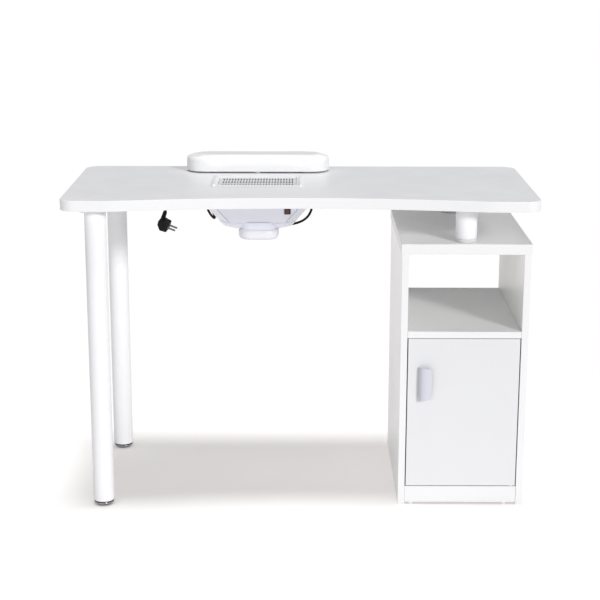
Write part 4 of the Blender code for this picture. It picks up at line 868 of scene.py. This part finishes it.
def hopper_rings():
    """Inside from its floor up, then outside down: funnel, parting groove, tray with a flat floor."""
    inside = ((0.6427, 0.0690, 0.0280, 0.018), (0.6455, 0.0795, 0.0350, 0.023),
              (0.6515, 0.0870, 0.0390, 0.0245), (0.6565, 0.0893, hopper_depth(0.6565) - 0.0036, 0.0249),
              (HOPPER_KNEE_Z, 0.1166, hopper_depth(HOPPER_KNEE_Z) - 0.0026, 0.023),
              (TOUCH, 0.1166, hopper_depth(TOUCH) - 0.0026, 0.023))
    outside = ((TOUCH, HOPPER_TOP[0], hopper_depth(TOUCH), HOPPER_TOP[2]),
               (HOPPER_KNEE_Z, HOPPER_TOP[0], hopper_depth(HOPPER_KNEE_Z), HOPPER_TOP[2]),
               (0.6572, 0.0933, hopper_depth(0.6572), 0.0259),
               (0.6568, 0.0921, hopper_depth(0.6570) - 0.0012, 0.0259),
               (0.6562, 0.0916, hopper_depth(0.6562) - 0.0012, 0.0259),
               (0.6558, 0.0925, hopper_depth(0.6560), 0.026), (0.6515, 0.0895, 0.0415, 0.0255),
               (0.6450, 0.0830, 0.0375, 0.024), (0.6425, 0.0790, 0.0350, 0.022),
               (0.6405, 0.0730, 0.0310, 0.020))
    return [chamfered_ring(half_x, half_y, chamfer, z) for z, half_x, half_y, chamfer in inside + outside]


def make_seams(mats):
    """Thin beads where the funnel's front meets its slanting corners."""
    beads = bmesh.new()
    for sx in (-1, 1):
        out = Vector((sx * 0.38, -0.90, -0.2)).normalized() * 0.0007
        along = Vector((0.92, sx * 0.38, 0)).normalized() * 0.0007
        rings = []
        for z, half_x, chamfer in ((TOUCH - 0.001, HOPPER_TOP[0], HOPPER_TOP[2]),
                                   (HOPPER_KNEE_Z, HOPPER_TOP[0], HOPPER_TOP[2]),
                                   (0.6585, 0.0943, 0.0259)):
            spot = Vector((HOUSING.x + sx * (half_x - chamfer), HOUSING.y - hopper_depth(z), z))
            rings.append([spot + out + along, spot + out - along, spot - out - along, spot - out + along])
        add(beads, loft(rings))
    place(new_object(beads, "collector_seams", mats["seam"]), "table")


def make_shell(mats):
    shell = new_object(loft(hopper_rings()), "collector_shell", mats["housing"], 20)
    combine(shell, prism(stadium(*NECK_BORE, 20, OUTLET), (0.60, 0.6800)))
    switch_hole = box((-0.0068, 0.0068), (-0.0093, 0.0093), (-0.02, 0.02))
    combine(shell, moved(switch_hole, front_wall_frame(*SWITCH_SPOT)))
    soften(shell, 0.0009, 3, 14)
    place(shell, "table", "collector_housing")


def make_neck(mats):
    """Short oval pipe under the tray, flared where it meets the tray's floor."""
    rings = []
    for half, z in (((0.0452, 0.0272), 0.6572), ((0.0444, 0.0264), 0.6548), (NECK_HALF, 0.6520),
                    (NECK_HALF, 0.6190), (NECK_BORE, 0.6190), (NECK_BORE, 0.6572)):
        rings.append([(x, y, z) for x, y in stadium(*half, 24, OUTLET)])
    place(new_object(loft(rings, closed=True), "collector_neck", mats["housing"]), "table")


def make_lugs(mats):
    """Four flat lugs that are screwed to the underside of the top."""
    lugs = bmesh.new()
    spots = []
    z_low = TOUCH - LUG_THICKNESS
    for x in (HOUSING.x - LUG_OFFSET_X, HOUSING.x + LUG_OFFSET_X):
        for sign in (-1, 1):
            y = sorted((HOUSING.y + sign * 0.0875, HOUSING.y + sign * 0.105))
            outline = rounded_rectangle(0.009, 0.00875, 0.003, 5, (x, sum(y) / 2))
            add(lugs, prism(outline, (z_low, TOUCH)))
            spots.append((x, HOUSING.y + sign * 0.097, z_low))
    place(soften(new_object(lugs, "collector_lugs", mats["housing"]), 0.0006, 2, 50), "table")
    make_screws("collector_lug_screws", spots, 0.0036, 0.0022, mats["zinc"])


def make_collar(mats):
    """Rounded oval ring around the neck's lower end, for the dust bag."""
    rings = []
    low, high = COLLAR_Z
    for inset, z in ((0.0105, low), (0.0064, low + 0.0004), (0.0036, low + 0.0022), (0.0014, low + 0.0052),
                     (0.0003, low + 0.0092), (0.0, low + 0.0130), (0.0, high - 0.0068),
                     (0.0007, high - 0.0040), (0.0020, high - 0.0016), (0.0038, high - 0.0003),
                     (0.0050, high), (0.0108, high - 0.0002), (0.0112, high - 0.0008),
                     (0.0112, low + 0.0004)):
        outline = stadium(COLLAR_HALF[0] - inset, COLLAR_HALF[1] - inset, 28, OUTLET)
        rings.append([(x, y, z) for x, y in outline])
    collar = new_object(loft(rings, closed=True), "outlet_ring", mats["collar"], 50)
    place(collar, "table", "outlet_collar")


def make_switch(mats):
    """Rocker switch on the collector's front wall: a frame with a well, and the red paddle in it."""
    matrix = front_wall_frame(*SWITCH_SPOT)
    body = new_object(prism(rounded_rectangle(0.0075, 0.0100, 0.0012, 5), (GAP, 0.0022)), "switch_frame",
                      mats["black"], matrix=matrix)
    combine(body, prism(rounded_rectangle(0.0065, 0.0090, 0.0006, 3), (-0.0145, 0.0015)), "UNION")
    combine(body, prism(rounded_rectangle(0.0053, 0.0078, 0.0004, 2), (-0.0085, 0.01)))
    soften(body, 0.0004, 3, 50)
    place(body, "table", "switch_body")
    arc = [(0.0070 * math.sin(a), -0.0070 * math.cos(a))
           for a in [math.radians(-68 + 136 * k / 20) for k in range(21)]]
    crest = [(0.0066, 0.0022), (0.0044, 0.0016), (0.0018, 0.0012), (0.0, 0.0012), (-0.0018, 0.0016),
             (-0.0044, 0.0029), (-0.0066, 0.0042)]
    swap = Matrix(((0, 0, 1, 0), (1, 0, 0, 0), (0, 1, 0, 0), (0, 0, 0, 1)))
    rocker = new_object(moved(prism(arc + crest, (-0.0049, 0.0049)), swap), "switch_paddle", mats["red"],
                        matrix=matrix @ Matrix.Translation((0, 0, 0.0004)))
    soften(rocker, 0.0004, 3, 50)
    place(rocker, "rocker", "switch_rocker")


# ---------------------------------------------------------------- wrist cushion
def cushion_start():
    """Closed start shape of the pad, a little under its final size."""
    low, high = CUSHION.z - 0.0022, CUSHION_TOP - 0.0040
    rings = []
    for inset, z in ((0.0030, low), (0.0012, low + 0.0012), (0.0008, low + 0.0040), (0.0008, high - 0.0070),
                     (0.0013, high - 0.0036), (0.0030, high - 0.0013), (0.0060, high - 0.0002),
                     (0.0100, high)):
        outline = stadium(CUSHION_HALF[0] - inset, CUSHION_HALF[1] - inset, 20, (CUSHION.x, CUSHION.y))
        rings.append([(x, y, z) for x, y in outline])
    return loft(rings)


def inflate(obj, pressure=4.0, frames=20, most=0.0040):
    """Blow the pad up as cloth over its foam, with its underside held, and cap how far a point may move."""
    group = obj.vertex_groups.new(name="held")
    group.add([v.index for v in obj.data.vertices if v.co.z < CUSHION.z + 0.003], 1.0, "ADD")
    before = [v.co.copy() for v in obj.data.vertices]
    modifier = obj.modifiers.new("cloth", "CLOTH")
    settings = modifier.settings
    settings.use_pressure = True
    settings.uniform_pressure_force = pressure
    settings.vertex_group_mass = "held"
    settings.effector_weights.gravity = 0.0
    for number in range(1, frames + 1):
        scene.frame_set(number)
    bake(obj)
    for vertex, start in zip(obj.data.vertices, before):
        step = vertex.co - start
        if step.length > most:
            vertex.co = start + step * (most / step.length)
    scene.frame_set(1)


def make_cushion(mats):
    """Padded wrist rest: remeshed, blown up and smoothed."""
    pad = new_object(cushion_start(), "wrist_pad", mats["vinyl"], 180)
    remesh = pad.modifiers.new("remesh", "REMESH")
    remesh.mode = "VOXEL"
    remesh.voxel_size = 0.005
    remesh.use_smooth_shade = True
    bake(pad)
    inflate(pad)
    smooth = pad.modifiers.new("smooth", "SUBSURF")
    smooth.levels = 1
    smooth.render_levels = 1
    bake(pad)
    pad.data.shade_smooth()
    place(pad, "wrist_cushion", "wrist_cushion_pad")


# ---------------------------------------------------------------- pieces kept from the model
def paint_nodes(mats):
    """Materials for the pieces whose shape is right as it is."""
    finishes = {
        # The cabinet finish is the white laminate brightened with painted light against the shade under the
        # tabletop.
        "cabinet": ("cabinet_bottom", "cabinet_back", "wrist_cushion_board"),
        "black": ("leg_front_insert", "leg_rear_insert", "fan_frame", "fan_impeller", "fan_plate",
                  "internal_wires"),
        "zinc": ("post_front_bolt", "post_rear_bolt", "handle_screw_upper", "handle_screw_lower",
                 "door_pivot_upper", "door_pivot_lower", "catch_strike", "fan_motor"),
        "white_plastic": ("cabinet_glide_left", "cabinet_glide_right", "door_bush_upper", "door_bush_lower",
                          "catch_body", "cord_clip_right", "cord_clip_left_rear", "cord_clip_left_front",
                          "cord_clip_plug", "coil_bracket"),
    }
    for finish, names in finishes.items():
        for name in names:
            mesh = NODES[name].data
            mesh.materials.clear()
            mesh.materials.append(mats[finish])


# ---------------------------------------------------------------- floor and lights
def make_floor():
    """Plain pale floor with a little light of its own."""
    bm = bmesh.new()
    bmesh.ops.create_grid(bm, x_segments=1, y_segments=1, size=60.0)
    bmesh.ops.translate(bm, verts=bm.verts, vec=(0, 0, -0.0002))
    mat = bpy.data.materials.new("floor")
    mat.use_nodes = True
    shader = mat.node_tree.nodes["Principled BSDF"]
    shader.inputs["Base Color"].default_value = (0.94, 0.94, 0.94, 1.0)
    shader.inputs["Roughness"].default_value = 1.0
    shader.inputs["Specular IOR Level"].default_value = 0.0
    shader.inputs["Emission Color"].default_value = (1.0, 0.925, 0.90, 1.0)
    shader.inputs["Emission Strength"].default_value = 0.30
    new_object(bm, "floor", mat)


def sun(name, azimuth, elevation, irradiance, angle, receivers=None):
    """Parallel light from a direction; azimuth 0 is the front and positive is to the right of it."""
    data = bpy.data.lights.new(name, "SUN")
    data.energy = irradiance * math.pi
    data.angle = math.radians(angle)
    obj = bpy.data.objects.new(name, data)
    scene.collection.objects.link(obj)
    round_, up = math.radians(azimuth), math.radians(elevation)
    source = Vector((math.sin(round_) * math.cos(up), -math.cos(round_) * math.cos(up), math.sin(up)))
    obj.rotation_euler = source.to_track_quat("Z", "Y").to_euler()
    obj.location = source * 4
    if receivers is not None:
        obj.light_linking.receiver_collection = receivers


def make_lights():
    """A soft light straight overhead, and lights from the front that fall on the table alone."""
    world = bpy.data.worlds.new("world")
    world.use_nodes = True
    background = world.node_tree.nodes["Background"]
    background.inputs["Color"].default_value = (0.97, 0.985, 1.0, 1.0)
    background.inputs["Strength"].default_value = 0.30
    scene.world = world
    scene.view_settings.view_transform = "Standard"
    lit = bpy.data.collections.new("lit_from_the_front")
    for obj in scene.objects:
        if obj.type in ("MESH", "CURVE") and obj.name != "floor":
            lit.objects.link(obj)
    sun("overhead", 0, 88, 0.48, 12)
    sun("key", 34, 21, 0.62, 12, lit)
    sun("fill_left", -24, 11, 0.15, 40, lit)


def main():
    make_camera()
    mats = make_materials()
    cord, cord_exit, cord_length = make_cord(mats)
    plug = make_plug(mats)
    make_relief(mats)
    make_tabletop(mats)
    make_supports(mats)
    make_cabinet(mats)
    make_handle(mats)
    make_vent(mats)
    make_shell(mats)
    make_seams(mats)
    make_neck(mats)
    make_lugs(mats)
    make_collar(mats)
    make_switch(mats)
    make_cushion(mats)
    paint_nodes(mats)
    make_floor()
    make_lights()


main()
